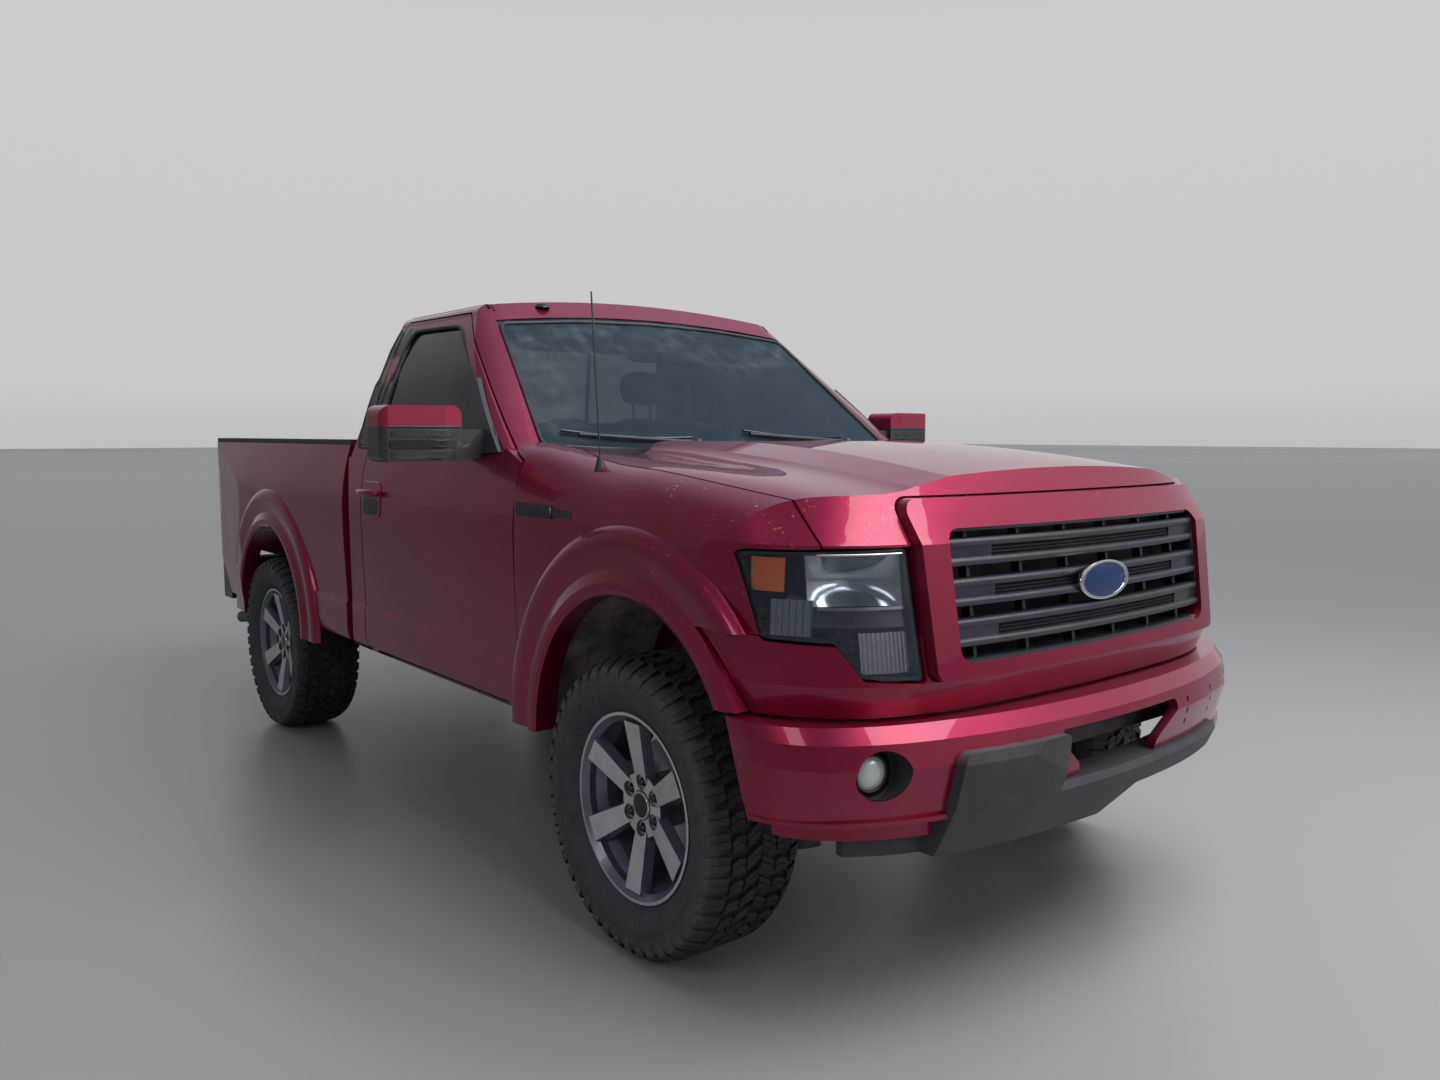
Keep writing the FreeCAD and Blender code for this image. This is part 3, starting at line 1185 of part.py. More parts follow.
def rear_axle():
    """Axle tube, differential, leaf springs and dampers."""
    end = wheel_plane - disc_offset - running_gap
    tube = rod(Vector(-end, wheelbase, tyre_radius), Vector(end, wheelbase, tyre_radius), axle_tube_radius)
    middle = Vector(0, wheelbase, tyre_radius)
    across = Vector(1, 0, 0)
    pieces = [tube, Part.makeCylinder(differential_radius, 160, middle - across * 80, across)]
    for side in (-1, 1):
        pieces.append(Part.makeCone(differential_radius - 8, 56, 110, middle + across * side * 78, across * side))
    pieces.append(rod(middle + Vector(0, -40, 6), middle + Vector(0, -230, 35), 58))
    for side in (-1, 1):
        x0, x1 = sorted((side * 485, side * 550))
        top = tyre_radius + axle_tube_radius
        leaf = [(wheelbase - 640, rail_rear_height - 62), (wheelbase - 640, rail_rear_height - 40),
                (wheelbase - 300, top + 72), (wheelbase, top + 52), (wheelbase + 300, top + 72),
                (wheelbase + 680, rail_rear_height - 40), (wheelbase + 680, rail_rear_height - 62),
                (wheelbase + 300, top + 40), (wheelbase, top - 4), (wheelbase - 300, top + 40)]
        pieces.append(slab_x(leaf, x0, x1))
        damper_x = side * 390
        damper = rod(Vector(damper_x, wheelbase + 30, tyre_radius + 10),
                     Vector(damper_x, wheelbase + 470, rail_rear_height + 60), 26)
        pieces.append(damper.cut(box(-wide, wide, wheelbase, wheelbase + 900, rail_rear_height - running_gap,
                                     roof_height)))
    return fused(pieces)


def exhaust():
    x = -300
    z = rail_mid_height - exhaust_radius - 14
    over_axle = 575
    pipe = chain([Vector(x, 600, z), Vector(x, wheelbase - 640, z), Vector(-255, wheelbase - 280, over_axle),
                  Vector(-255, wheelbase + 240, over_axle), Vector(-600, wheelbase + 620, 470),
                  Vector(-800, wheelbase + 900, 430), Vector(-860, wheelbase + 1030, 415)], exhaust_radius)
    muffler = rod(Vector(x + 40, 1750, z - 5), Vector(x + 40, 2350, z - 5), 78)
    strap = box(x - 12, x + 12, 1680, 1696, z, rail_mid_height + 130)
    rear_strap = box(-267, -243, wheelbase - 470, wheelbase - 454, over_axle - 150, rail_rear_height + 20)
    return fused([pipe, muffler, strap, rear_strap])


def fuel_tank():
    top = rail_mid_height + 130
    return slab_y([(70, 380, 30), (360, 380, 30), (360, top, 30), (70, top, 30)], 1480, 2440)


def wheel_liners():
    """Bent sheets over the front wheels, from the apron to the flare."""
    centre_z = front_arch_height - 20
    radius = arch_radius + liner_gap
    pieces = []
    for side in (-1, 1):
        x0, x1 = sorted((side * 530, side * (body_half_width - 60 - running_gap)))
        outer = rod(Vector(x0, 0, centre_z), Vector(x1, 0, centre_z), radius + 5)
        inner = rod(Vector(x0 - 10, 0, centre_z), Vector(x1 + 10, 0, centre_z), radius)
        pieces.append(outer.cut(inner).common(box(-wide, wide, -600, 560, front_arch_height, roof_height)))
    return pieces


def cowl():
    """The black panel below the windscreen and its two wipers."""
    block = greenhouse_block(-running_gap)
    panel = box(-cowl_half_width, cowl_half_width, hood_rear_y + 30, firewall_y + 180, cowl_height, screen_bottom + 2)
    panel = panel.cut(block)
    wipers = []
    for x0, x1 in ((-700, -80), (60, 680)):
        y0 = screen_base_y + screen_rake * (screen_bottom - cowl_height)
        arm = rod(Vector(x1, y0 - 35, screen_bottom + 10), Vector(x0, y0 + 40, screen_bottom + 50), 8)
        pivot = Part.makeCylinder(22, 24, Vector(x1, y0 - 35, screen_bottom + 2))
        wipers.append(arm.fuse(pivot).cut(block).Solids[0])
    return panel, wipers


def dashboard():
    shape = slab_x([(firewall_y + cab_wall, 1000), (firewall_y + 290, 1000, 40), (firewall_y + 380, 1180, 60),
                    (firewall_y + 330, 1330, 60), (firewall_y + 220, 1360, 40), (firewall_y + cab_wall, 1375)],
                   -840, 840)
    cluster = slab_x([(firewall_y + 250, 1300), (firewall_y + 360, 1300, 20), (firewall_y + 330, 1405, 40),
                      (firewall_y + 200, 1385, 20), (firewall_y + 200, 1300)], steering_x - 190, steering_x + 190)
    console = box(-150, 150, firewall_y + 230, firewall_y + 330, cab_floor_height, 1100)
    room = cab_prism(door_thickness + 1, firewall_y, cab_rear)
    return fused([shape.common(room), cluster, console])


def steering_wheel():
    centre = Vector(steering_x, firewall_y + 520, 1330)
    axis = Vector(0, 0.86, 0.5).normalize()
    out = Vector(1, 0, 0)
    corners = [centre + out * (steering_wheel_radius + 15 * math.cos(a)) + axis * 15 * math.sin(a)
               for a in (math.pi / 4 * i for i in range(8))]
    ring = Part.Face(Part.makePolygon(corners + [corners[0]])).revolve(centre, axis, 360)
    hub = Part.makeCylinder(70, 46, centre - axis * 40, axis)
    pieces = [ring, hub]
    down = axis.cross(out)
    for way in (out, out * -1, down):
        pieces.append(rod(centre - axis * 16 + way * 50, centre + way * (steering_wheel_radius - 2), 12))
    pieces.append(rod(centre - axis * 30, centre - axis * 185, 34))
    return fused(pieces)


def seat():
    """Bench seat: base, cushion, split backrest and head restraints."""
    w = seat_half_width
    base = box(-w + 40, w - 40, cushion_front + 40, cushion_front + 480, cab_floor_height, cushion_height - 160)
    cushion = slab_x([(cushion_front, cushion_height - 150, 50), (cushion_front + 520, cushion_height - 170, 20),
                      (cushion_front + 520, cushion_height - 30, 40), (cushion_front, cushion_height, 60)], -w, w)
    backs = []
    for x0, x1 in ((-w, -170), (-160, 160), (170, w)):
        backs.append(slab_x([(cushion_front + 470, cushion_height - 60, 40), (cushion_front + 610, cushion_height - 60, 40),
                             (cushion_front + 720, backrest_height, 50), (cushion_front + 610, backrest_height, 50)],
                            x0, x1))
    heads = []
    for x in (-440, 440):
        heads.append(slab_x([(cushion_front + 605, backrest_height + 30, 30), (cushion_front + 700, backrest_height + 30, 30),
                             (cushion_front + 705, backrest_height + 200, 40), (cushion_front + 620, backrest_height + 200, 40)],
                            x - 125, x + 125))
        heads.append(rod(Vector(x - 50, cushion_front + 670, backrest_height - 40),
                         Vector(x - 50, cushion_front + 680, backrest_height + 60), 7))
        heads.append(rod(Vector(x + 50, cushion_front + 670, backrest_height - 40),
                         Vector(x + 50, cushion_front + 680, backrest_height + 60), 7))
    return fused([base, cushion] + backs + heads)


mirror_tip = 1310.0
mirror_root = 1040.0
mirror_low = 1392.0
mirror_high = 1576.0
mirror_front = 872.0
mirror_depth = 150.0


def mirror():
    """The left towing mirror: sail, arm and housing."""
    sail = slab_x([(door_front + 140, belt_height - 10), (door_front + 420, belt_height - 30, 10),
                   (door_front + 416, belt_height + 90), (door_front + 436, belt_height + 246)], 0, wide)
    skin = cab_prism(-running_gap, 0, wheelbase)
    sail = sail.cut(skin).common(cab_prism(-16, 0, wheelbase))
    y0, y1 = mirror_front, mirror_front + mirror_depth
    arm = slab_y([(body_half_width - 60, mirror_low + 6, 20), (mirror_root + 30, mirror_low + 6, 20),
                  (mirror_root + 30, mirror_high - 78, 20), (body_half_width - 60, mirror_high - 78, 20)],
                 y0 + 25, y1 - 25).cut(skin)
    head = slab_y([(mirror_root, mirror_low, 24), (mirror_tip, mirror_low, 30), (mirror_tip, mirror_high, 34),
                   (mirror_root, mirror_high, 34)], y0, y1)
    plan = slab_z([(mirror_root - 10, y0 + 10), (mirror_root + 60, y0, 20), (mirror_tip, y0 + 26, 30), (mirror_tip, y1, 6),
                   (mirror_root - 10, y1)], 0, wheelbase)
    return fused([sail, arm, head.common(plan)])


antenna_x = -897.0
antenna_y = 258.0
antenna_foot_z = 1382.0


def antenna():
    foot = Part.makeCone(19, 8, 44, Vector(antenna_x, antenna_y, antenna_foot_z - 10))
    mast = rod(Vector(antenna_x, antenna_y, antenna_foot_z + 20),
               Vector(antenna_x, antenna_y + 40, antenna_foot_z + 520), 2.6)
    return foot.fuse(mast)


def make_all():
    parts = {}
    walls = cab_walls()
    nose = nose_skin_shell()
    parts["fenders"] = both(fender(nose))
    parts["cab"] = cab(walls).cut(parts["fenders"])
    parts["cab_glass"] = cab_glass()
    parts["door_left"] = door(walls)
    parts["door_right"] = mirrored(parts["door_left"])
    parts["door_glass_left"] = door_glass()
    parts["door_glass_right"] = mirrored(parts["door_glass_left"])
    parts["hood"] = hood(nose)
    parts["grille_surround"] = grille_surround()
    parts["grille"] = grille()
    parts["headlamps"] = both(headlamp())
    parts["headlamp_lenses"] = both(headlamp_lens())
    parts["front_fascia"] = front_fascia()
    parts["front_bumper"] = front_bumper()
    parts["fog_lamps"] = both(fog_lamp())
    parts["air_dam"] = air_dam()
    parts["bed_sides"] = both(bed_side())
    parts["tail_lamps"] = both(tail_lamp())
    parts["bed"] = bed()
    parts["rail_caps"] = rail_caps()
    parts["tailgate"] = tailgate()
    parts["rear_bumper"] = rear_bumper()
    parts["frame"] = frame()
    parts["hitch_receiver"] = hitch_receiver()
    parts["engine"] = engine()
    parts["radiator"] = radiator()
    parts["engine_bay"] = engine_bay()
    parts["drivetrain"] = drivetrain()
    parts["front_suspension"] = front_suspension()
    parts["rear_axle"] = rear_axle()
    parts["exhaust"] = exhaust()
    parts["fuel_tank"] = fuel_tank()
    liners = [liner.cut([parts["fenders"], parts["front_bumper"]]) for liner in wheel_liners()]
    parts["wheel_liners"] = Part.makeCompound(liners)
    panel, wipers = cowl()
    parts["cowl"] = panel
    parts["wipers"] = Part.makeCompound(wipers)
    parts["dashboard"] = dashboard()
    parts["steering_wheel"] = steering_wheel().cut(parts["dashboard"])
    parts["seat"] = seat()
    parts["antenna"] = antenna().cut(parts["fenders"])
    parts["mirror_left"] = mirror()
    parts["mirror_right"] = mirrored(parts["mirror_left"])
    parts["knuckle_left"] = knuckle()
    parts["knuckle_right"] = mirrored(parts["knuckle_left"])
    rim = wheel()
    rubber = tyre()
    for place, y in (("front", 0.0), ("rear", wheelbase)):
        for side_name, side in (("left", 1), ("right", -1)):
            parts[f"wheel_{place}_{side_name}"] = on_axle(rim, y, side)
            parts[f"tyre_{place}_{side_name}"] = on_axle(rubber, y, side)
    return parts


def placed(shape):
    moved = shape.copy()
    moved.translate(Vector(0, shift_y, 0))
    return moved


def main():
    os.makedirs("parts", exist_ok=True)
    for name, shape in make_all().items():
        solids = placed(shape).Solids
        whole = solids[0] if len(solids) == 1 else Part.makeCompound(solids)
        whole.exportStep(os.path.join("parts", name + ".step"))
        b = whole.optimalBoundingBox()
        print(f"{name:20s} solids {len(solids)} valid {whole.isValid()} vol {whole.Volume/1e6:.2f} dm3 "
              f"x {b.XMin:.0f}..{b.XMax:.0f} y {b.YMin:.0f}..{b.YMax:.0f} z {b.ZMin:.0f}..{b.ZMax:.0f}")


main()
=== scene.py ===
import bpy
import bmesh
import math
import random
from mathutils import Matrix, Vector, noise
from mathutils.bvhtree import BVHTree


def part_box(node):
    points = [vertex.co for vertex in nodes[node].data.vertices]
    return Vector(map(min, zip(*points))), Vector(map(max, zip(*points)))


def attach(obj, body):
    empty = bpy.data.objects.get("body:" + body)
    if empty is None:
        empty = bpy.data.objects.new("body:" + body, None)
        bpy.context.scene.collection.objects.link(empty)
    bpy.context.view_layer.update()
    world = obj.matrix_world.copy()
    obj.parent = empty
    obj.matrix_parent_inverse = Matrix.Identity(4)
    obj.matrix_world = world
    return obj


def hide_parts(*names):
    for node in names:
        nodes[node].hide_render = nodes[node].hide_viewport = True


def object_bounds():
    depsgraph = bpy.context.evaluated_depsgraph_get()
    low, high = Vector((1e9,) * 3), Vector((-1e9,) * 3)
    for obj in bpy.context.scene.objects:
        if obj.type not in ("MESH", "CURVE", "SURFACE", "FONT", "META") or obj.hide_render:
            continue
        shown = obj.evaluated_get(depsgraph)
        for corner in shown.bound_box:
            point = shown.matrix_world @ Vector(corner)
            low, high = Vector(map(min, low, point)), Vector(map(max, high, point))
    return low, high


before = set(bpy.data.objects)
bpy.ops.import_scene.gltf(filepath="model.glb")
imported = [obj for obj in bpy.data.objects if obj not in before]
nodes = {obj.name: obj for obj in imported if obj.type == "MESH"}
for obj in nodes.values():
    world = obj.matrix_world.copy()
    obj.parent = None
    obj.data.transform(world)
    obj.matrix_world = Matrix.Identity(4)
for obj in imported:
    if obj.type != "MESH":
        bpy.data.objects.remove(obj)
cad_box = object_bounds()
rng = random.Random(7)

SIDES = (("left", 1), ("right", -1))
front_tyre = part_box("tyre_front_left")
rear_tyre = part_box("tyre_rear_left")
TYRE_RADIUS = front_tyre[1].z / 2
FRONT_AXLE_Y = (front_tyre[0].y + front_tyre[1].y) / 2
REAR_AXLE_Y = (rear_tyre[0].y + rear_tyre[1].y) / 2
WHEEL_X = (front_tyre[0].x + front_tyre[1].x) / 2
DUST = (0.3, 0.25, 0.2)

# The plane of the grille's bars: y = front + lean z + bow x squared
GRILLE_FRONT = -2.7591
GRILLE_LEAN = 0.14
GRILLE_BOW = 0.1136


# Materials

class Shade:
    """A small helper that builds a procedural material on one principled shader."""

    def __init__(self, name, color, rough=0.5, metal=0.0, **extra):
        self.mat = bpy.data.materials.new(name)
        self.mat.use_nodes = True
        self.tree = self.mat.node_tree
        self.bsdf = self.tree.nodes["Principled BSDF"]
        self.bsdf.inputs["Base Color"].default_value = (*color, 1)
        self.bsdf.inputs["Roughness"].default_value = rough
        self.bsdf.inputs["Metallic"].default_value = metal
        for key, value in extra.items():
            self.bsdf.inputs[key.replace("_", " ")].default_value = value
        self.coords = self.node("ShaderNodeTexCoord")

    def node(self, kind, **settings):
        made = self.tree.nodes.new(kind)
        for key, value in settings.items():
            setattr(made, key, value)
        return made

    def put(self, value, socket):
        """Links an output, or sets a plain number or colour."""
        if isinstance(value, tuple):
            socket.default_value = (*value, 1) if len(socket.default_value) == 4 else value
        elif isinstance(value, (int, float)):
            socket.default_value = value
        else:
            self.tree.links.new(value, socket)

    def noise(self, scale, detail=4.0, rough=0.55, stretch=None):
        made = self.node("ShaderNodeTexNoise")
        made.inputs["Scale"].default_value = scale
        made.inputs["Detail"].default_value = detail
        made.inputs["Roughness"].default_value = rough
        source = self.coords.outputs["Object"]
        if stretch:
            place = self.node("ShaderNodeMapping")
            place.inputs["Scale"].default_value = stretch
            self.put(source, place.inputs["Vector"])
            source = place.outputs["Vector"]
        self.put(source, made.inputs["Vector"])
        return made.outputs["Fac"]

    def cells(self, scale):
        made = self.node("ShaderNodeTexVoronoi")
        made.inputs["Scale"].default_value = scale
        self.put(self.coords.outputs["Object"], made.inputs["Vector"])
        return made.outputs["Distance"]

    def ramp(self, value, stops):
        made = self.node("ShaderNodeValToRGB")
        ramp = made.color_ramp
        while len(ramp.elements) < len(stops):
            ramp.elements.new(0.5)
        for element, (place, color) in zip(ramp.elements, stops):
            element.position = place
            element.color = (*color, 1) if isinstance(color, tuple) else (color, color, color, 1)
        self.put(value, made.inputs["Fac"])
        return made.outputs["Color"]

    def span(self, value, low, high, to_low=0.0, to_high=1.0):
        made = self.node("ShaderNodeMapRange")
        self.put(value, made.inputs["Value"])
        made.inputs["From Min"].default_value = low
        made.inputs["From Max"].default_value = high
        made.inputs["To Min"].default_value = to_low
        made.inputs["To Max"].default_value = to_high
        return made.outputs["Result"]

    def axis(self, name, source="Object"):
        """One part of the place, or of the surface direction with source Normal."""
        made = self.node("ShaderNodeSeparateXYZ")
        self.put(self.coords.outputs[source], made.inputs["Vector"])
        return made.outputs[name]

    def math(self, operation, a, b=0.0):
        made = self.node("ShaderNodeMath", operation=operation)
        self.put(a, made.inputs[0])
        self.put(b, made.inputs[1])
        return made.outputs[0]

    def times(self, a, b):
        return self.math("MULTIPLY", a, b)

    def away(self, spot):
        """The distance from a fixed place."""
        made = self.node("ShaderNodeVectorMath", operation="DISTANCE")
        self.put(self.coords.outputs["Object"], made.inputs[0])
        made.inputs[1].default_value = spot
        return made.outputs["Value"]

    def mix(self, factor, a, b):
        made = self.node("ShaderNodeMix", data_type="RGBA")
        self.put(factor, made.inputs[0])
        self.put(a, made.inputs[6])
        self.put(b, made.inputs[7])
        return made.outputs[2]

    def color(self, value):
        self.put(value, self.bsdf.inputs["Base Color"])

    def roughness(self, value):
        self.put(value, self.bsdf.inputs["Roughness"])

    def metal(self, value):
        self.put(value, self.bsdf.inputs["Metallic"])

    def bump(self, value, strength, distance=0.002):
        made = self.node("ShaderNodeBump")
        made.inputs["Strength"].default_value = strength
        made.inputs["Distance"].default_value = distance
        self.put(value, made.inputs["Height"])
        self.put(made.outputs["Normal"], self.bsdf.inputs["Normal"])


def dusty(shade, base, dust, amount, scale=9.0):
    """Mixes dust into a base colour in soft patches with fine grain."""
    patches = shade.span(shade.noise(scale, 6.0), 0.42, 0.72)
    grain = shade.span(shade.noise(220.0, 2.0), 0.35, 0.7)
    factor = shade.times(shade.times(patches, grain), amount)
    shade.color(shade.mix(factor, base, dust))


PAINT_DEEP = (0.2, 0.002, 0.024)
PAINT_FLAKE = (0.4, 0.008, 0.06)


def paint_color(shade):
    """Ruby metallic with a thin film of dust on what faces up and near the ground."""
    flakes = shade.ramp(shade.cells(1300.0), [(0.15, PAINT_FLAKE), (0.7, PAINT_DEEP)])
    cloud = shade.span(shade.noise(3.5, 8.0), 0.4, 0.75)
    top_film = shade.times(cloud, shade.span(shade.axis("Z", "Normal"), 0.4, 0.95, 0.0, 0.07))
    low_film = shade.times(cloud, shade.span(shade.axis("Z"), 0.8, 0.55, 0.0, 0.1))
    return shade.mix(shade.math("ADD", top_film, low_film), flakes, DUST)


def paint_material():
    paint = Shade("ruby_paint", PAINT_DEEP, 0.36, 0.7, Coat_Weight=1.0, Coat_Roughness=0.02, Coat_IOR=1.36)
    spots = paint.span(paint.cells(330.0), 0.2, 0.08)
    streaks = paint.span(paint.noise(160.0, 3.0, 0.6, (1.0, 0.25, 0.6)), 0.63, 0.68)
    chips = paint.math("MAXIMUM", spots, streaks)
    patch = paint.span(paint.noise(8.0, 6.0), 0.5, 0.62)
    near_lamp = paint.span(paint.away((-0.86, -2.12, 1.34)), 0.5, 0.22)
    factor = paint.times(paint.times(chips, patch), paint.times(near_lamp, 0.75))
    paint.color(paint.mix(factor, paint_color(paint), (0.6, 0.47, 0.34)))
    paint.roughness(paint.span(paint.noise(2.2, 5.0), 0.3, 0.75, 0.3, 0.42))
    return paint.mat


def mirror_material(split_height, root_x):
    """Body colour above a line on the mirror's head, black below it and on the arm."""
    shade = Shade("mirror_two_tone", PAINT_DEEP, 0.4, 0.0, Coat_Weight=0.6, Coat_Roughness=0.04)
    high = shade.math("GREATER_THAN", shade.axis("Z"), split_height)
    outer = shade.math("GREATER_THAN", shade.math("ABSOLUTE", shade.axis("X")), root_x)
    cap = shade.times(high, outer)
    shade.color(shade.mix(cap, (0.012, 0.014, 0.018), paint_color(shade)))
    shade.roughness(shade.span(cap, 0.0, 1.0, 0.55, 0.36))
    shade.metal(shade.times(cap, 0.45))
    return shade.mat


def plastic_material(name, base, rough, dust_amount=0.3, grain=900.0, strength=0.15):
    shade = Shade(name, base, rough)
    dusty(shade, base, (0.2, 0.18, 0.16), dust_amount)
    shade.bump(shade.noise(grain, 2.0), strength, 0.0006)
    return shade.mat


def glass_material(name, tint, alpha, dirt):
    shade = Shade(name, tint, 0.02, 0.0, Coat_Weight=0.5, IOR=1.5)
    smear = shade.span(shade.noise(5.0, 8.0, 0.65), 0.35, 0.75)
    fine = shade.span(shade.noise(90.0, 3.0), 0.45, 0.75)
    film = shade.times(shade.times(smear, fine), dirt)
    shade.color(shade.mix(film, tint, (0.36, 0.34, 0.31)))
    shade.put(shade.math("ADD", film, alpha), shade.bsdf.inputs["Alpha"])
    return shade.mat


def screen_material(pivots):
    """A windscreen that is dirty outside the arcs that the wipers clean."""
    shade = Shade("screen_glass", (0.02, 0.03, 0.028), 0.03, 0.0, IOR=1.5)
    dirt = 1.0
    for pivot in pivots:
        dirt = shade.times(shade.span(shade.away(pivot), 0.54, 0.62, 0.2, 1.0), dirt)
    smear = shade.span(shade.noise(4.0, 4.0, 0.6), 0.3, 0.75)
    spots = shade.span(shade.cells(60.0), 0.06, 0.03)
    fine = shade.span(shade.noise(16.0, 4.0), 0.3, 0.8)
    film = shade.times(shade.times(shade.math("MAXIMUM", fine, spots), smear), shade.times(dirt, 0.3))
    shade.color(shade.mix(film, (0.014, 0.03, 0.038), (0.3, 0.33, 0.32)))
    shade.put(shade.math("ADD", film, 0.5), shade.bsdf.inputs["Alpha"])
    return shade.mat


def clear_material(name, tint, rough=0.02, weight=1.0):
    shade = Shade(name, tint, rough, 0.0, Transmission_Weight=weight, IOR=1.45)
    haze = shade.span(shade.noise(14.0, 6.0), 0.4, 0.8)
    shade.roughness(shade.span(haze, 0.0, 1.0, rough, rough + 0.12))
    return shade.mat


def rubber_material():
    """Tyre rubber: dark tread, a bluish grey wall and brown dust round the shoulder."""
    shade = Shade("tyre_rubber", (0.014, 0.015, 0.018), 0.75)
    y, z = shade.axis("Y"), shade.axis("Z")
    radius = shade.math("SQRT", shade.math("ADD", shade.times(y, y), shade.times(z, z)))
    wall = shade.span(radius, 0.405, 0.392)
    ring = shade.times(shade.span(radius, 0.35, 0.385), shade.span(radius, 0.418, 0.4))
    patches = shade.span(shade.noise(22.0, 7.0, 0.65), 0.4, 0.66)
    fine = shade.span(shade.noise(260.0, 3.0), 0.3, 0.65)
    base = shade.mix(wall, (0.012, 0.014, 0.018), (0.028, 0.034, 0.042))
    film = shade.times(shade.times(patches, fine), 0.34)
    dust = shade.math("ADD", film, shade.times(shade.times(ring, fine), 0.4))
    shade.color(shade.mix(dust, base, (0.14, 0.115, 0.085)))
    shade.bump(shade.noise(500.0, 3.0), 0.25, 0.0008)
    return shade.mat


def metal_material(name, base, rough, metal=1.0, wear=(0.3, 0.28, 0.26), amount=0.2):
    shade = Shade(name, base, rough, metal)
    dusty(shade, base, wear, amount)
    shade.roughness(shade.span(shade.noise(40.0, 4.0), 0.3, 0.7, rough * 0.8, rough * 1.25))
    return shade.mat


def wheel_material():
    """Warm grey spoke faces over darker blue-grey flanks and barrel."""
    shade = Shade("gunmetal_wheel", (0.16, 0.16, 0.16), 0.34, 0.7, Coat_Weight=0.3)
    face = shade.span(shade.math("ABSOLUTE", shade.axis("X", "Normal")), 0.85, 0.97)
    grime = shade.span(shade.noise(18.0, 7.0), 0.45, 0.8)
    tone = shade.mix(face, (0.15, 0.175, 0.21), (0.62, 0.615, 0.61))
    shade.color(shade.mix(shade.times(grime, 0.25), tone, (0.1, 0.075, 0.05)))
    shade.roughness(shade.span(shade.noise(60.0, 4.0), 0.3, 0.7, 0.26, 0.4))
    return shade.mat


def grille_material():
    """Satin gunmetal on the bars' fronts, black on everything behind them."""
    shade = Shade("gunmetal_bars", (0.03, 0.033, 0.04), 0.34, 0.6)
    lean = shade.times(shade.axis("Z"), GRILLE_LEAN)
    bow = shade.times(shade.times(shade.axis("X"), shade.axis("X")), GRILLE_BOW)
    depth = shade.math("SUBTRACT", shade.math("SUBTRACT", shade.axis("Y"), lean), bow)
    near = shade.span(depth, GRILLE_FRONT + 0.008, GRILLE_FRONT + 0.014, 1.0, 0.0)
    patches = shade.span(shade.noise(12.0, 6.0), 0.45, 0.75)
    bars = shade.mix(shade.times(patches, 0.2), (0.06, 0.066, 0.078), (0.15, 0.14, 0.13))
    shade.color(shade.mix(near, (0.004, 0.005, 0.007), bars))
    shade.roughness(shade.span(near, 0.0, 1.0, 0.7, 0.33))
    return shade.mat


def rib_glint_material():
    """Metal whose colour paints a bright highlight on each rib and shade in each groove, repeating every 10
    mm across the truck.
    """
    shade = Shade("reflector_painted_rib_glints", (0.5, 0.52, 0.54), 0.22, 0.5)
    wave = shade.math("SINE", shade.times(shade.axis("X"), 2 * math.pi / 0.01))
    # Painted rib highlights and painted groove shade: the colour swings from dark to bright along X
    shade.color(shade.mix(shade.span(wave, -0.5, 0.5), (0.05, 0.065, 0.08), (0.8, 0.82, 0.84)))
    return shade.mat


def mud_material():
    shade = Shade("liner_mud", (0.05, 0.045, 0.04), 0.9)
    stops = [(0.3, (0.1, 0.092, 0.085)), (0.48, (0.32, 0.27, 0.21)), (0.72, (0.62, 0.52, 0.4))]
    shade.color(shade.ramp(shade.noise(11.0, 8.0, 0.6), stops))
    shade.bump(shade.noise(45.0, 8.0, 0.7), 0.8, 0.01)
    return shade.mat


def fabric_material(name, dark, light):
    shade = Shade(name, dark, 0.9, Sheen_Weight=0.3)
    weave = shade.noise(700.0, 2.0, 0.5, (1.0, 0.35, 1.0))
    shade.color(shade.ramp(weave, [(0.35, dark), (0.65, light)]))
    shade.bump(weave, 0.4, 0.001)
    return shade.mat


def bed_liner_material():
    """Sprayed bed lining: black with coarse grain, dust and scuffs."""
    shade = Shade("bed_lining", (0.02, 0.02, 0.02), 0.8)
    scuffs = shade.span(shade.noise(30.0, 7.0, 0.7, (2.0, 0.3, 1.0)), 0.55, 0.75)
    dust = shade.span(shade.noise(4.0, 8.0), 0.4, 0.75)
    grimy = shade.mix(shade.times(dust, 0.35), (0.018, 0.018, 0.019), (0.13, 0.12, 0.1))
    shade.color(shade.mix(shade.times(scuffs, 0.3), grimy, (0.12, 0.12, 0.12)))
    shade.bump(shade.noise(320.0, 4.0, 0.7), 0.7, 0.0015)
    return shade.mat


def floor_material():
    shade = Shade("show_floor", (0.28, 0.28, 0.28), 0.3)
    cloud = shade.noise(0.7, 7.0)
    shade.color(shade.ramp(cloud, [(0.3, (0.27, 0.266, 0.264)), (0.7, (0.34, 0.336, 0.332))]))
    shade.roughness(shade.span(shade.noise(1.6, 6.0), 0.3, 0.7, 0.24, 0.4))
    return shade.mat


PAINT = paint_material()
TRIM = plastic_material("black_trim", (0.014, 0.015, 0.018), 0.5)
GLOSS_TRIM = plastic_material("gloss_black", (0.01, 0.011, 0.014), 0.16, 0.2, 40.0, 0.02)
PILLAR = plastic_material("pillar_trim", (0.02, 0.028, 0.038), 0.22, 0.15, 40.0, 0.02)
HONEYCOMB = plastic_material("honeycomb_black", (0.01, 0.012, 0.016), 0.45, 0.15)
GREY_PLASTIC = plastic_material("charcoal_plate", (0.03, 0.033, 0.04), 0.55, 0.3)
CABIN = plastic_material("cabin_plastic", (0.03, 0.028, 0.027), 0.6, 0.15)
CABIN_GREY = plastic_material("cabin_grey", (0.1, 0.095, 0.088), 0.7, 0.1)
CLOTH = fabric_material("seat_cloth", (0.045, 0.042, 0.04), (0.11, 0.105, 0.1))
HEADLINER = fabric_material("headliner", (0.2, 0.19, 0.17), (0.26, 0.25, 0.23))
CARPET = fabric_material("carpet", (0.02, 0.02, 0.02), (0.05, 0.048, 0.045))
